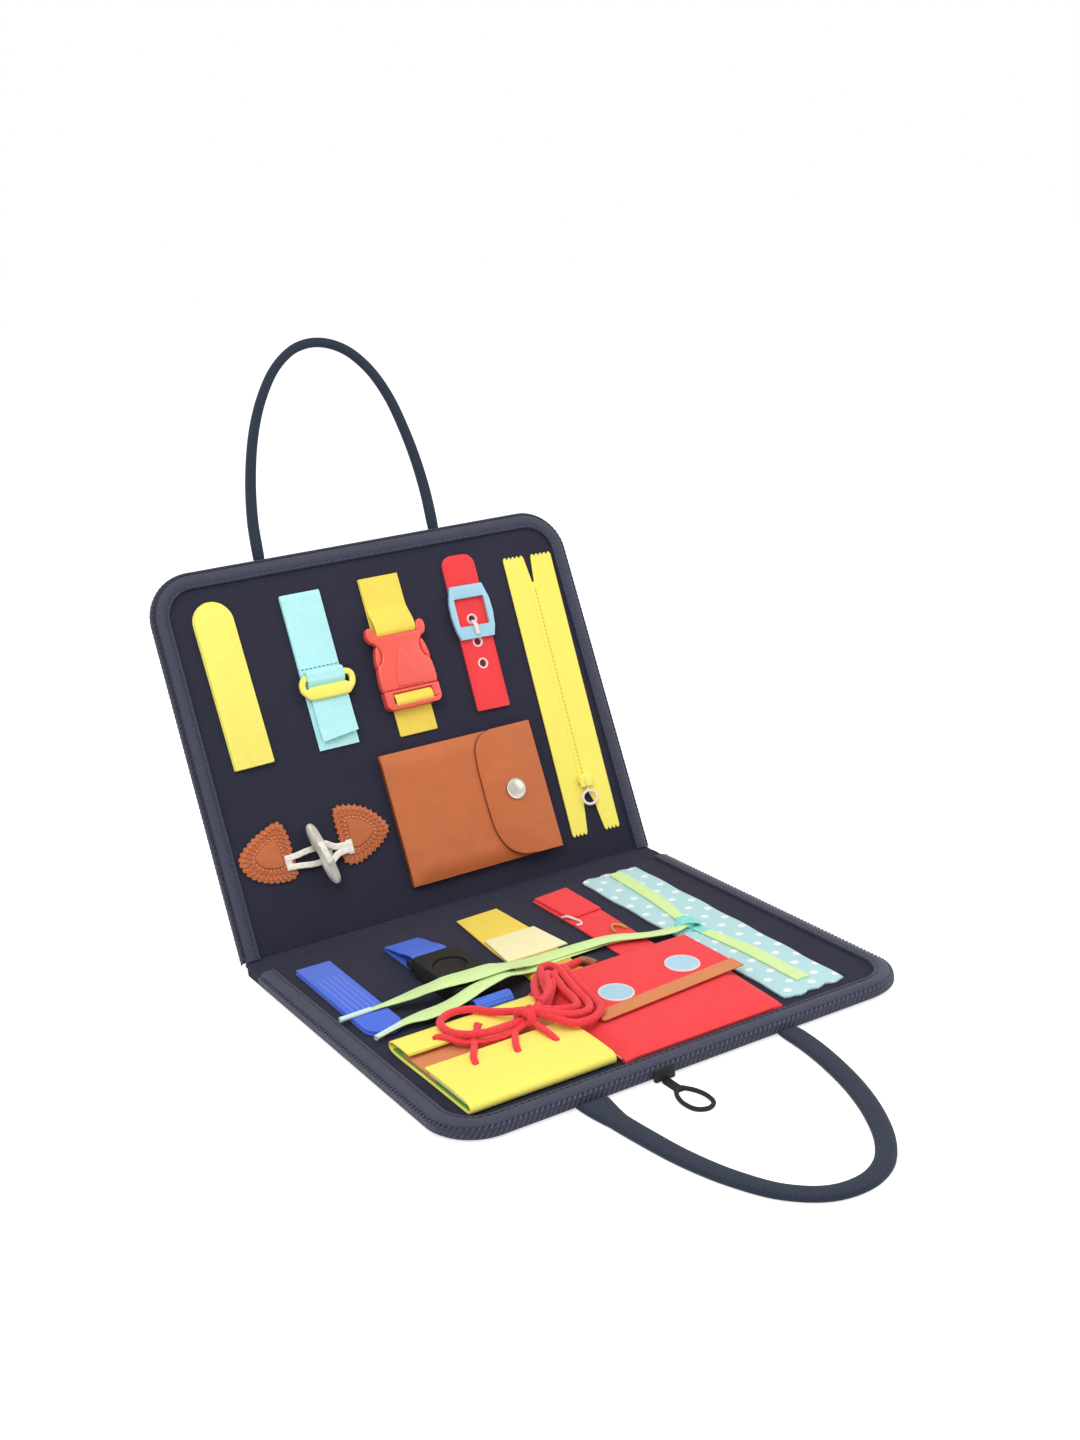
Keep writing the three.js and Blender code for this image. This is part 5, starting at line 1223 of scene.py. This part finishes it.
def make_press():
    """Black press buckle on blue webbing"""
    place = placed(LOWER, -57.96, 0)
    dressed("black_buckle_body", place, "black", "lower_half", "black_plastic", "press_body", 1.0, 3)
    knob = bmesh.new()
    lathe(knob, [
        (0, 9.4), (5.0, 9.35), (7.0, 9.2), (7.8, 9.6), (8.6, 10.1), (9.2, 9.8), (9.4, 9.2), (9.4, 5.9),
        (9.2, 5.7), (0, 5.7),
    ], (0, -77.0, 0), 48)
    piece("round_press_button", knob, place, ["black"], "press_button", "black_plastic", "press_button")
    dressed("black_buckle_tongue", place, "black", "press_tongue", "black_plastic", "press_tongue", 0.4, 2)
    roller = -52.0
    side = [
        (34.5, 0.9), (20, 0.9), (5, 0.9), (0.8, 1.6), (-2, 3.65), (-2.9, 6.05), (-2, 8.05), (0, 8.75),
        (4, 8.55), (16, 5.9), (27, 4.1), (34.5, 2.4),
    ]
    top = folded_webbing([(roller + along, up) for along, up in side], 22.0, 1.2, 100)
    piece("blue_top_webbing", top, place, ["blue"], "lower_half", "blue_webbing", "press_webbing_top")
    low = folded_webbing([
        (-126.6, 0.9), (-121.4, 0.9), (-118.9, 2.2), (-117.9, 4.4), (-118.6, 6.8), (-120.4, 8.3),
        (-122.8, 8.5), (-125.0, 7.2), (-126.4, 5.0), (-126.2, 3.0), (-124.4, 2.4),
    ], 22.0, 1.2, 80)
    piece("blue_low_webbing", low, place, ["blue"], "lower_half", "blue_webbing", "press_webbing_low")


def share_outline(box, shares):
    """Corners on the lower half from shares of a strip's width and length"""
    left, near, wide, long = box
    return [(left + u * wide, -(near + v * long)) for u, v in shares]


def make_straps():
    """Yellow strap with its cream flap, and the red strap with its hook"""
    strap = (-25.06, 7, 37, 113)
    yellow = [(0.22, 0.01), (0.97, 0), (1, 0.47), (0.78, 0.98), (0, 1), (0.08, 0.47)]
    piece("yellow_sewn_strap", plate(share_outline(strap, yellow), 0.3, 1.2, 0.45), LOWER, ["yellow"],
          "lower_half", "yellow_webbing", "yellow_strap")
    amber_end = [(0.05, 0.7), (0.9, 0.7), (0.785, 0.965), (0.02, 0.985)]
    amber = plate(share_outline(strap, amber_end), 1.5, 0.5, 0.2)
    for v in (0.78, 0.87, 0.93):
        fold = [Vector((x, y, 2.0)) for x, y in share_outline(strap, [(0.06, v), (0.82, v - 0.01)])]
        sweep(amber, flat_stations(even_steps(fold, 12)), cushion_section(1.3, 0.7))
    piece("amber_sewn_end", amber, LOWER, ["amber"], "lower_half", "yellow_webbing")
    for name, box, shares, bottom, thick, bevel, segments, finish, body, slot, node in (
        ("cream_peel_flap", (-23.94, 47, 39, 33),
         [(0.1, 0), (0.94, 0), (1, 1), (0, 1)],
         1.8, 1.3, 0.5, 3, "cream", "cream_flap", "cream_felt", "cream_flap"),
        ("red_hook_strap", (30.94, 9, 28, 105),
         [(0.07, 0.03), (1, 0), (0.93, 0.49), (0.82, 1), (0, 1), (0.07, 0.49)],
         0.3, 1.2, 0.4, 2, "red", "lower_half", "red_felt", "hook_strap_base"),
        ("red_hook_flap", (34.02, 10, 24, 41.5),
         [(0, 0.06), (1, 0), (0.96, 0.96), (0.04, 1)],
         1.8, 1.3, 0.5, 3, "red", "hook_strap_flap", "red_felt", "hook_strap_flap"),
    ):
        layer = plate(share_outline(box, shares), bottom, thick, bevel, segments)
        piece(name, layer, LOWER, [finish], body, slot, node)
    hook = curve_through([
        (32.6, -46, 2.2), (34.2, -49.5, 3.4), (36.6, -53.5, 2.6), (37.6, -58, 2.3), (36.0, -61.5, 2.2),
        (33.2, -61.0, 2.2),
    ], 40)
    wire = round_cord(hook, 0.75, 10)
    piece("white_hook", wire, LOWER, ["pale_plastic"], "lower_half", "steel", crease=60)
    eye = curve_through([
        (45.0, -83.5, 2.1), (46.0, -78.5, 2.6), (49.0, -75.5, 3.0), (52.2, -78.5, 2.6), (53.0, -83.5, 2.1),
    ], 32)
    piece("ochre_eye", round_cord(eye, 0.8, 10), LOWER, ["ochre"], "lower_half", "steel", crease=60)


def make_dotted():
    """Dotted cotton strip with wavy ends"""
    box = (68.46, 7.0, 41.5, 202.0)
    corners = share_outline(box, [(0.08, 0), (1, 0), (0.95, 0.51), (0.89, 1), (0, 1), (0.04, 0.51)])
    line = even_steps([Vector((x, y, 0)) for x, y in corners + corners[:1]], 160)
    outline = []
    for p, run in zip(line[:-1], runs(line)):
        slack = 0.4 * math.sin((p.x + p.y) * math.pi / 21.0)
        ruffle = 1.1 * math.sin(p.x * 0.55) if abs(run.x) > 0.8 else 0
        q = p + Vector((run.y, -run.x, 0)) * (slack + ruffle - 0.9)
        outline.append((q.x, q.y))
    bm = plate(outline, 0.3, 1.4, 0.45)
    piece("dotted_cotton_strip", bm, LOWER, ["dotted"], "lower_half", "dotted_fabric", "dotted_strip")


# Middle lines of the lime ribbon's tails and of its sewn run: x, y, height and width

UPPER_TAIL = [
    (80, -105, 4.4, 4), (68, -109, 4.6, 5), (52, -102.5, 4.2, 7), (35, -94.5, 4.4, 9),
    (16, -90.5, 3.2, 10), (-4, -90, 3.2, 10), (-20, -92, 4.8, 11), (-33, -98, 9.4, 12),
    (-43, -102, 12.8, 13), (-60, -102.5, 13.2, 14), (-76, -100, 12.6, 13), (-87, -93, 8, 12),
    (-97, -88, 4.6, 7), (-106, -87, 3.8, 4), (-130, -88, 3.8, 3),
]
LOWER_TAIL = [
    (80, -103, 3.4, 4), (66, -103, 3, 5), (50, -98, 2.6, 6), (34, -93.5, 2.6, 7), (16, -92, 2, 8),
    (-4, -93, 2, 8), (-20, -97, 2.6, 8), (-32, -104, 7, 8.5), (-43, -109, 11.2, 9), (-53, -112, 11.4, 9),
    (-63, -115, 11.2, 10), (-72, -116.5, 9.4, 11), (-82, -115, 6.2, 12), (-93, -112, 4, 11),
    (-104, -112, 3.8, 6), (-124, -118, 3.6, 3),
]
RIBBON = [
    (93.8, -10, 2.4, 9), (90, -59.5, 2.4, 9), (83.8, -98, 2.4, 6.3), (83.8, -110, 2.4, 6.3),
    (88, -150.4, 2.4, 9), (88, -198, 2.4, 9),
]
RIBBON_THICK = 0.9


def make_lime_lace():
    """Lime ribbon on the dotted strip, its knot and the two loose tails"""
    run = bmesh.new()
    line = curve_through(RIBBON, 60)
    sweep(run, flat_stations([p.xyz for p in line]), [band_section(p.w, RIBBON_THICK) for p in line])
    piece("lime_sewn_ribbon", run, LOWER, ["lime"], "lower_half", "lime_ribbon", "lime_lace")
    x, y, height = 80.1, -104, 4.1
    lump = bmesh.new()
    near_knot = [p for p in line if abs(p.y - y) < 13]
    sweep(lump, flat_stations([p.xyz + LEVEL * 0.35 for p in near_knot]),
          [band_section(p.w + 1.2, RIBBON_THICK) for p in near_knot])
    for degrees, away, wide, long, tall in (
        (-24, -1.6, 6.0, 7.0, 2.3), (20, 1.8, 5.6, 6.6, 2.5), (-4, 0.2, 4.6, 6.2, 3.1),
    ):
        around = Vector((math.cos(math.radians(degrees)), math.sin(math.radians(degrees)), 0))
        across = LEVEL.cross(around)
        turn = []
        for i in range(41):
            a = math.tau * i / 40
            out = around * (long * math.cos(a)) + LEVEL * (tall * math.sin(a))
            run = LEVEL * (tall * math.cos(a)) - around * (long * math.sin(a))
            turn.append((Vector((x, y + away, height)) + out, across, across.cross(run.normalized())))
        sweep(lump, turn, cushion_section(wide, 1.3), capped=False)
    bead(lump, (x, y, height), Matrix(), (6.2, 4.2, 1.9), 0, 3)
    piece("ribbon_knot", lump, LOWER, ["knot"], "lower_half", "lime_ribbon")
    for name, points, full in (("upper", UPPER_TAIL, 11.0), ("lower", LOWER_TAIL, 10.0)):
        line = curve_through(points, 110)
        lifted = [p.xyz + LEVEL * RIBBON_THICK / 2 for p in line]
        tail = bmesh.new()
        sweep(tail, flat_stations(lifted), [band_section(p.w, RIBBON_THICK) for p in line])
        made = piece(f"lime_{name}_tail", tail, LOWER, ["lime"], "lower_half", "lime_ribbon", crease=50)
        tip = round_cord(lifted[-10:], 1.5, 12)
        aglet = piece(f"lime_{name}_aglet", tip, LOWER, ["aglet"], "lower_half", "lime_ribbon")
        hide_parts("lime_lace")


# Middle lines of the red lace: the bow from its free end, and the turns inside it from the knot

BOW_PATH = [
    (11, -117, 4.2), (8, -108, 4.4), (-4, -110, 5), (-14, -118, 9.4), (-24, -130, 11.6), (-36, -146, 12),
    (-47, -157, 11.2), (-58, -160, 10.2), (-68, -162, 11.2), (-79, -163, 11.4), (-92, -157, 11),
    (-97, -146, 10.2), (-95, -134, 9.9), (-86, -128.5, 9.9), (-76, -131, 9.9), (-69, -141, 10.2),
    (-63, -152, 12.6), (-57, -160, 14.6), (-52, -170, 13.8), (-44, -181, 11.4), (-34, -183, 11.6),
    (-25, -177, 12), (-21, -164, 11.8), (-18, -146, 11.6), (-14, -128, 11.4), (-12, -116, 8.6),
    (-20, -111.5, 7), (-29, -119, 8), (-37, -131, 10.2), (-43, -146, 10),
]
SECOND_LOOP = [
    (-57, -161, 15.6), (-50, -171, 15), (-42, -177, 14.2), (-33, -176.5, 13), (-26.8, -168, 12.2),
    (-24, -154, 12), (-20.4, -138, 12), (-17, -124, 12), (-18, -116.5, 12), (-23, -115.5, 12),
    (-27.5, -123, 12), (-32.5, -134, 12.4), (-38.5, -147, 13.2), (-46, -156, 14.4), (-53, -161, 15.6),
    (-51, -167, 15.8), (-43, -171, 15), (-35, -169.5, 13.6), (-30.4, -160, 12.4), (-28, -146, 12.2),
    (-25, -134, 12.6), (-25.5, -128, 13.6), (-30, -132, 15.2), (-35, -143, 16.2), (-42, -153, 16.4),
    (-50, -159, 16.2),
]


def make_bow():
    """The free lace, tied in a bow, with its second loop and knot"""
    thick = 4.0
    line = curve_through(BOW_PATH, 220)
    bow = round_cord(line, thick / 2, 14)
    lace = piece("red_bow_lace", bow, LOWER, ["red_lace"], "lower_half", "red_felt", "lace_bow", crease=60)
    tip = round_cord(line[:8], 2.25, 14)
    aglet = piece("bow_lace_aglet", tip, LOWER, ["brown_aglet"], "lower_half", "red_felt")
    wrap = bmesh.new()
    turns = [math.tau * i / 32 for i in range(33)]
    for x, lean in ((-61.2, -1.4), (-57.2, 1.4)):
        turn = [Vector((x + lean * math.cos(a), -161.5 + 4.4 * math.cos(a), 12.3 + 3.4 * math.sin(a)))
                for a in turns]
        sweep(wrap, cord_stations(turn), ring_section(thick / 2, 12), capped=False)
    knot = piece("bow_knot_wrap", wrap, LOWER, ["red_lace"], "lower_half", "red_felt", crease=60)
    inner = curve_through(SECOND_LOOP, 240)
    loop = round_cord(inner, thick / 2, 14)
    second = piece("red_bow_second_loop", loop, LOWER, ["red_lace"], "lower_half", "red_felt", crease=60)


# The laced panel's middle and width, and its eyelets as shares of the width and of its two folds' depth

PANEL_X, PANEL_WIDE = -81.06, 82.0
REAR_SHARES = ((-0.27, 0.35), (0.02, 0.3), (0.32, 0.26))
FRONT_SHARES = ((-0.24, 0.29), (0.04, 0.33), (0.3, 0.37))


def lace_rows():
    """Eyelet places on the folded panel, rear row and front row"""
    rows = []
    for shares, inner, outer in ((REAR_SHARES, 151.0, 128.0), (FRONT_SHARES, 168.0, 213.5)):
        rows.append([(PANEL_X + u * PANEL_WIDE, inner + v * (outer - inner)) for u, v in shares])
    return rows


def make_laced_panel():
    """Folded lemon panel with lace holes painted as dark shadow discs, its tongue and the held lace"""
    x, wide = PANEL_X, PANEL_WIDE
    rise, thick = 7.4, 1.3
    top = rise - thick / 2
    panel = folded_webbing([
        (-150.9, top), (-140, top + 0.1), (-132.5, top - 0.3), (-129.4, 5.0), (-128.8, 3.6), (-129.6, 1.9),
        (-133, 0.95), (-170, 0.95), (-206, 0.95), (-211.0, 1.2), (-212.6, 2.6), (-212.6, 4.4),
        (-210.6, 5.9), (-205, top - 0.2), (-190, top + 0.25), (-168.1, top),
    ], wide, thick, 150)
    piece("lemon_laced_panel", panel, placed(LOWER, x, 0), ["lemon"], "lower_half", "lemon_felt",
          "lace_panel", crease=60)
    lining = bmesh.new()
    block(lining, (x - wide / 2 + 0.8, -211.0, 1.65), (x + wide / 2 - 0.8, -131.0, 2.1), 0.2)
    block(lining, (x - wide / 2 + 0.5, -208.5, 4.4), (x + wide / 2 - 0.8, -171.0, 5.9), 0.5, finish=1)
    piece("panel_lining", lining, LOWER, ["green", "cream"], "lower_half", "lemon_felt")
    tongue = bmesh.new()
    block(tongue, (-121.0, -177.5, 2.2), (-41.1, -141.5, 3.9), 0.5)
    piece("rust_tongue", tongue, LOWER, ["pale_rust"], "lower_half", "rust_felt", "lace_tongue")
    rear, front = lace_rows()
    # Dark brown discs on the panel at each eyelet: painted shadow of the lace holes
    holes = bmesh.new()
    for u, v in rear + front:
        lathe(holes, [(0, 7.5), (2.3, 7.5), (2.9, 7.5), (3.2, 7.3)], (u, -v, 0), 20)
    piece("lace_hole_shadows", holes, LOWER, ["painted_shadow_brown"], "lower_half", "lemon_felt")
    under, high = 4.4, 7.0
    bm = bmesh.new()
    for (ru, rv), (fu, fv) in zip(rear[1:], front[:2]):
        run = [(ru + 1.0, -rv + 1.0, under), (ru, -rv, high), (ru - 1.4, -rv - 4.0, 9.0),
               ((ru * 2 + fu) / 3, -155.0, 8.2), ((ru + fu * 2) / 3, -167.0, 8.4),
               (fu + 1.2, -fv + 4.2, 9.0), (fu, -fv, high), (fu - 0.6, -fv - 1.0, under)]
        sweep(bm, cord_stations(curve_through(run, 56)), cushion_section(3.4, 2.6))
    u, v = rear[0]
    run = [(u - 0.8, -v + 1.0, under), (u, -v, high), (u + 2.6, -v - 5.0, 8.8), (u + 8.0, -156.5, 7.6),
           (u + 18, -163, 7.4), (u + 30, -165.5, 8.2), (-61, -163.5, 10.0)]
    sweep(bm, cord_stations(curve_through(run, 70)), cushion_section(3.4, 2.6))
    u, v = front[2]
    run = [(u + 0.4, -v - 1.0, under), (u, -v, high), (u - 0.8, -v + 5.0, 9.0), (u - 1.4, -173.0, 9.8),
           (u - 2.0, -166.0, 10.6)]
    sweep(bm, cord_stations(curve_through(run, 44)), cushion_section(3.4, 2.6))
    piece("red_held_lace", bm, LOWER, ["red_lace"], "lower_half", "red_felt", "lace_stitching", crease=60)


def make_red_pouch():
    """Red felt pouch, its flap, trim and snap caps"""
    pouch("red_felt_pouch", (-36.96, -216.5, 0.3), (66.04, -123.0, 6.5), 3.0, 9.0, "near", 0.9, LOWER,
          "red", "lower_half", "red_felt", "red_pouch", draw_in=6.5)
    line = even_steps([(-37.1, -178.0, 2.6), (-37.1, -212.0, 2.4), (-34.5, -216.3, 2.3)], 30)
    piece("pouch_seam_edge", round_cord(line, 0.45, 8), LOWER, ["peach"], "lower_half", "red_felt")
    dressed("red_pouch_flap", LOWER, "red", "red_flap", "red_felt", "red_flap", 0.4, 3)
    left, right = -27.96, 66.04
    ragged = [
        (left - 0.3, -173.4), (left + 1.0, -175.6), (left - 0.6, -177.4), (left + 0.8, -179.6),
        (left - 0.4, -181.6), (left + 0.6, -184.0),
    ]
    trim = plate(ragged + [(right, -176.0), (right, -165.2)], 8.1, 1.0, 0.45, 3)
    piece("rust_trim", trim, LOWER, ["pale_rust"], "red_flap", "rust_felt", "red_trim")
    disc = [(0, 8.75), (4.5, 8.75), (6.9, 8.8), (7.6, 8.9)]
    rim = [(7.6, 8.9), (7.8, 9.05), (8.2, 9.0), (8.5, 8.7), (8.6, 8.3), (8.5, 8.0), (0, 8.0)]
    for i, (u, v) in enumerate(((-4.93, 160.1), (42.07, 153.2)), 1):
        cap = bmesh.new()
        lathe(cap, disc, (0, 0, 0), 40)
        lathe(cap, rim, (0, 0, 0), 40, finish=1)
        bmesh.ops.scale(cap, vec=(1.1, 1.24, 1.0), verts=cap.verts[:])
        bmesh.ops.translate(cap, vec=(u, -v, 0), verts=cap.verts[:])
        piece(f"blue_snap_disc_{i}", cap, LOWER, ["sky_plastic", "pale_plastic"], "red_flap", "sky_plastic",
              f"red_snap_{i}")


# Stage

def met_straight_on(tree, kinds):
    """1 for the kinds of ray that look at the background itself, 0 for those that light the board"""
    rays = add(tree, "ShaderNodeLightPath").outputs
    seen = rays[kinds[0]]
    for kind in kinds[1:]:
        seen = add(tree, "ShaderNodeMath", "Value", {0: seen, 1: rays[kind]}, operation="MAXIMUM")
    return seen


def make_stage(stage):
    """White floor, even light and the photograph's view"""
    white = (1, 1, 1, 1)
    floor_finish = bpy.data.materials.new("White paper sweep")
    floor_finish.use_nodes = True
    tree = floor_finish.node_tree
    tree.nodes.clear()
    paper = add(tree, "ShaderNodeBsdfDiffuse", "BSDF", {"Color": (0.82, 0.82, 0.82, 1)})
    seen = met_straight_on(tree, ("Is Camera Ray", "Is Glossy Ray"))
    lift = add(tree, "ShaderNodeMath", "Value", {0: seen, 1: 0.66}, operation="MULTIPLY")
    glow = add(tree, "ShaderNodeEmission", "Emission", {"Color": white, "Strength": lift})
    total = add(tree, "ShaderNodeAddShader", "Shader", {0: paper, 1: glow})
    add(tree, "ShaderNodeOutputMaterial", inputs={"Surface": total})
    bm = bmesh.new()
    bmesh.ops.create_grid(bm, x_segments=1, y_segments=1, size=6.0)
    mesh = bpy.data.meshes.new("floor")
    bm.to_mesh(mesh)
    bm.free()
    mesh.materials.append(floor_finish)
    floor = bpy.data.objects.new("floor", mesh)
    bpy.context.scene.collection.objects.link(floor)

    world = bpy.context.scene.world or bpy.data.worlds.new("World")
    bpy.context.scene.world = world
    world.use_nodes = True
    tree = world.node_tree
    tree.nodes.clear()
    seen = met_straight_on(tree, ("Is Camera Ray", "Is Glossy Ray", "Is Transmission Ray"))
    light = add(tree, "ShaderNodeBackground", "Background", {"Color": white, "Strength": stage.sky})
    plain = add(tree, "ShaderNodeBackground", "Background", {"Color": white, "Strength": 1.0})
    mixed = add(tree, "ShaderNodeMixShader", "Shader", {0: seen, 1: light, 2: plain})
    add(tree, "ShaderNodeOutputWorld", inputs={"Surface": mixed})

    target = Vector((0, 0.05, 0.08))
    for name, spot, power, size in (
        ("Key", Vector((-0.9, -0.8, 1.5)), stage.key, 1.0),
        ("Fill", Vector((1.3, -0.6, 0.9)), stage.key * 0.35, 1.2),
        ("Top", Vector((0.1, -0.15, 1.7)), stage.key * 0.5, 1.3),
    ):
        lamp = bpy.data.lights.new(name, "AREA")
        lamp.energy = power
        lamp.size = size
        made = bpy.data.objects.new(name, lamp)
        made.location = spot
        made.rotation_euler = (target - spot).to_track_quat("-Z", "Y").to_euler()
        bpy.context.scene.collection.objects.link(made)

    right = Vector((0.85219, -0.51862, -0.06934))
    up = Vector((0.20879, 0.21552, 0.95392))
    back = Vector((-0.47978, -0.82739, 0.29195))
    lens = bpy.data.cameras.new("Photo view")
    lens.lens = stage.lens
    lens.sensor_width = 36.0
    camera = bpy.data.objects.new("Photo view", lens)
    camera.matrix_world = Matrix((right, up, back)).transposed().to_4x4()
    camera.location = (-0.4634, -0.7785, 0.4299)
    bpy.context.scene.collection.objects.link(camera)
    bpy.context.scene.camera = camera
    bpy.context.scene.view_settings.view_transform = "Standard"


class BUSY_OT_finishes(Operator):
    """Make the materials"""
    bl_idname = "busy.finishes"
    bl_label = "Materials"

    def execute(self, context):
        FINISHES.update(make_finishes(context.scene.busy_colours))
        return {"FINISHED"}


class BUSY_OT_case(Operator):
    """Make both padded halves"""
    bl_idname = "busy.case"
    bl_label = "Case halves"

    def execute(self, context):
        make_case(context.scene.busy_case)
        return {"FINISHED"}


class BUSY_OT_spine(Operator):
    """Make the cloth spine"""
    bl_idname = "busy.spine"
    bl_label = "Spine"

    def execute(self, context):
        make_spine(context.scene.busy_case)
        return {"FINISHED"}


class BUSY_OT_handles(Operator):
    """Make both strap handles"""
    bl_idname = "busy.handles"
    bl_label = "Handles"

    def execute(self, context):
        make_handles()
        return {"FINISHED"}


class BUSY_OT_edge_pull(Operator):
    """Make the edge zip's slider and pull"""
    bl_idname = "busy.edge_pull"
    bl_label = "Edge zip slider"

    def execute(self, context):
        make_edge_pull()
        return {"FINISHED"}


class BUSY_OT_touch_strips(Operator):
    """Make the hook-and-loop strips"""
    bl_idname = "busy.touch_strips"
    bl_label = "Hook-and-loop strips"

    def execute(self, context):
        make_touch_strips()
        return {"FINISHED"}


class BUSY_OT_glide(Operator):
    """Make the cyan webbing and its slide buckle"""
    bl_idname = "busy.glide"
    bl_label = "Slide buckle"

    def execute(self, context):
        make_glide()
        return {"FINISHED"}


class BUSY_OT_release(Operator):
    """Make the red side-release buckle"""
    bl_idname = "busy.release"
    bl_label = "Side-release buckle"

    def execute(self, context):
        make_release()
        return {"FINISHED"}


class BUSY_OT_belt(Operator):
    """Make the red belt"""
    bl_idname = "busy.belt"
    bl_label = "Belt"

    def execute(self, context):
        make_belt()
        return {"FINISHED"}


class BUSY_OT_zipper(Operator):
    """Make the lemon zipper"""
    bl_idname = "busy.zipper"
    bl_label = "Zipper"

    def execute(self, context):
        make_zipper()
        return {"FINISHED"}


class BUSY_OT_brown_pouch(Operator):
    """Make the tan pouch"""
    bl_idname = "busy.brown_pouch"
    bl_label = "Tan pouch"

    def execute(self, context):
        make_brown_pouch()
        return {"FINISHED"}


class BUSY_OT_toggle(Operator):
    """Make the toggle fastener"""
    bl_idname = "busy.toggle"
    bl_label = "Toggle"

    def execute(self, context):
        make_toggle()
        return {"FINISHED"}


class BUSY_OT_press(Operator):
    """Make the black press buckle"""
    bl_idname = "busy.press"
    bl_label = "Press buckle"

    def execute(self, context):
        make_press()
        return {"FINISHED"}


class BUSY_OT_straps(Operator):
    """Make the yellow and the red strap"""
    bl_idname = "busy.straps"
    bl_label = "Peel straps"

    def execute(self, context):
        make_straps()
        return {"FINISHED"}


class BUSY_OT_dotted(Operator):
    """Make the dotted strip and the lime ribbon"""
    bl_idname = "busy.dotted"
    bl_label = "Dotted strip and ribbon"

    def execute(self, context):
        make_dotted()
        make_lime_lace()
        return {"FINISHED"}


class BUSY_OT_laced_panel(Operator):
    """Make the laced panel and its bow"""
    bl_idname = "busy.laced_panel"
    bl_label = "Laced panel"

    def execute(self, context):
        make_laced_panel()
        make_bow()
        return {"FINISHED"}


class BUSY_OT_red_pouch(Operator):
    """Make the red pouch"""
    bl_idname = "busy.red_pouch"
    bl_label = "Red pouch"

    def execute(self, context):
        make_red_pouch()
        return {"FINISHED"}


class BUSY_OT_stage(Operator):
    """Make the floor, lights and camera"""
    bl_idname = "busy.stage"
    bl_label = "Stage"

    def execute(self, context):
        make_stage(context.scene.busy_stage)
        return {"FINISHED"}


OPERATORS = (
    BUSY_OT_stage, BUSY_OT_finishes, BUSY_OT_laced_panel, BUSY_OT_dotted, BUSY_OT_case, BUSY_OT_spine,
    BUSY_OT_handles, BUSY_OT_edge_pull, BUSY_OT_touch_strips, BUSY_OT_glide, BUSY_OT_release,
    BUSY_OT_belt, BUSY_OT_zipper, BUSY_OT_brown_pouch, BUSY_OT_toggle, BUSY_OT_press, BUSY_OT_straps,
    BUSY_OT_red_pouch,
)


class BUSY_PT_board(Panel):
    """Sizes, colours and steps of the busy board"""
    bl_idname = "BUSY_PT_board"
    bl_label = "Busy Board"
    bl_space_type = "VIEW_3D"
    bl_region_type = "UI"
    bl_category = "Busy Board"

    def draw(self, context):
        for group in (context.scene.busy_case, context.scene.busy_colours, context.scene.busy_stage):
            column = self.layout.column()
            for key in group.bl_rna.properties.keys():
                if key not in ("rna_type", "name"):
                    column.prop(group, key)
        for operator in OPERATORS:
            self.layout.operator(operator.bl_idname)


CLASSES = (BusyCase, BusyColours, BusyStage, *OPERATORS, BUSY_PT_board)


def register():
    for cls in CLASSES:
        bpy.utils.register_class(cls)
    bpy.types.Scene.busy_case = PointerProperty(type=BusyCase)
    bpy.types.Scene.busy_colours = PointerProperty(type=BusyColours)
    bpy.types.Scene.busy_stage = PointerProperty(type=BusyStage)


def unregister():
    del bpy.types.Scene.busy_stage
    del bpy.types.Scene.busy_colours
    del bpy.types.Scene.busy_case
    for cls in reversed(CLASSES):
        bpy.utils.unregister_class(cls)


def main():
    register()
    for operator in OPERATORS:
        getattr(bpy.ops.busy, operator.bl_idname.split(".")[1])()


if __name__ == "__main__":
    main()
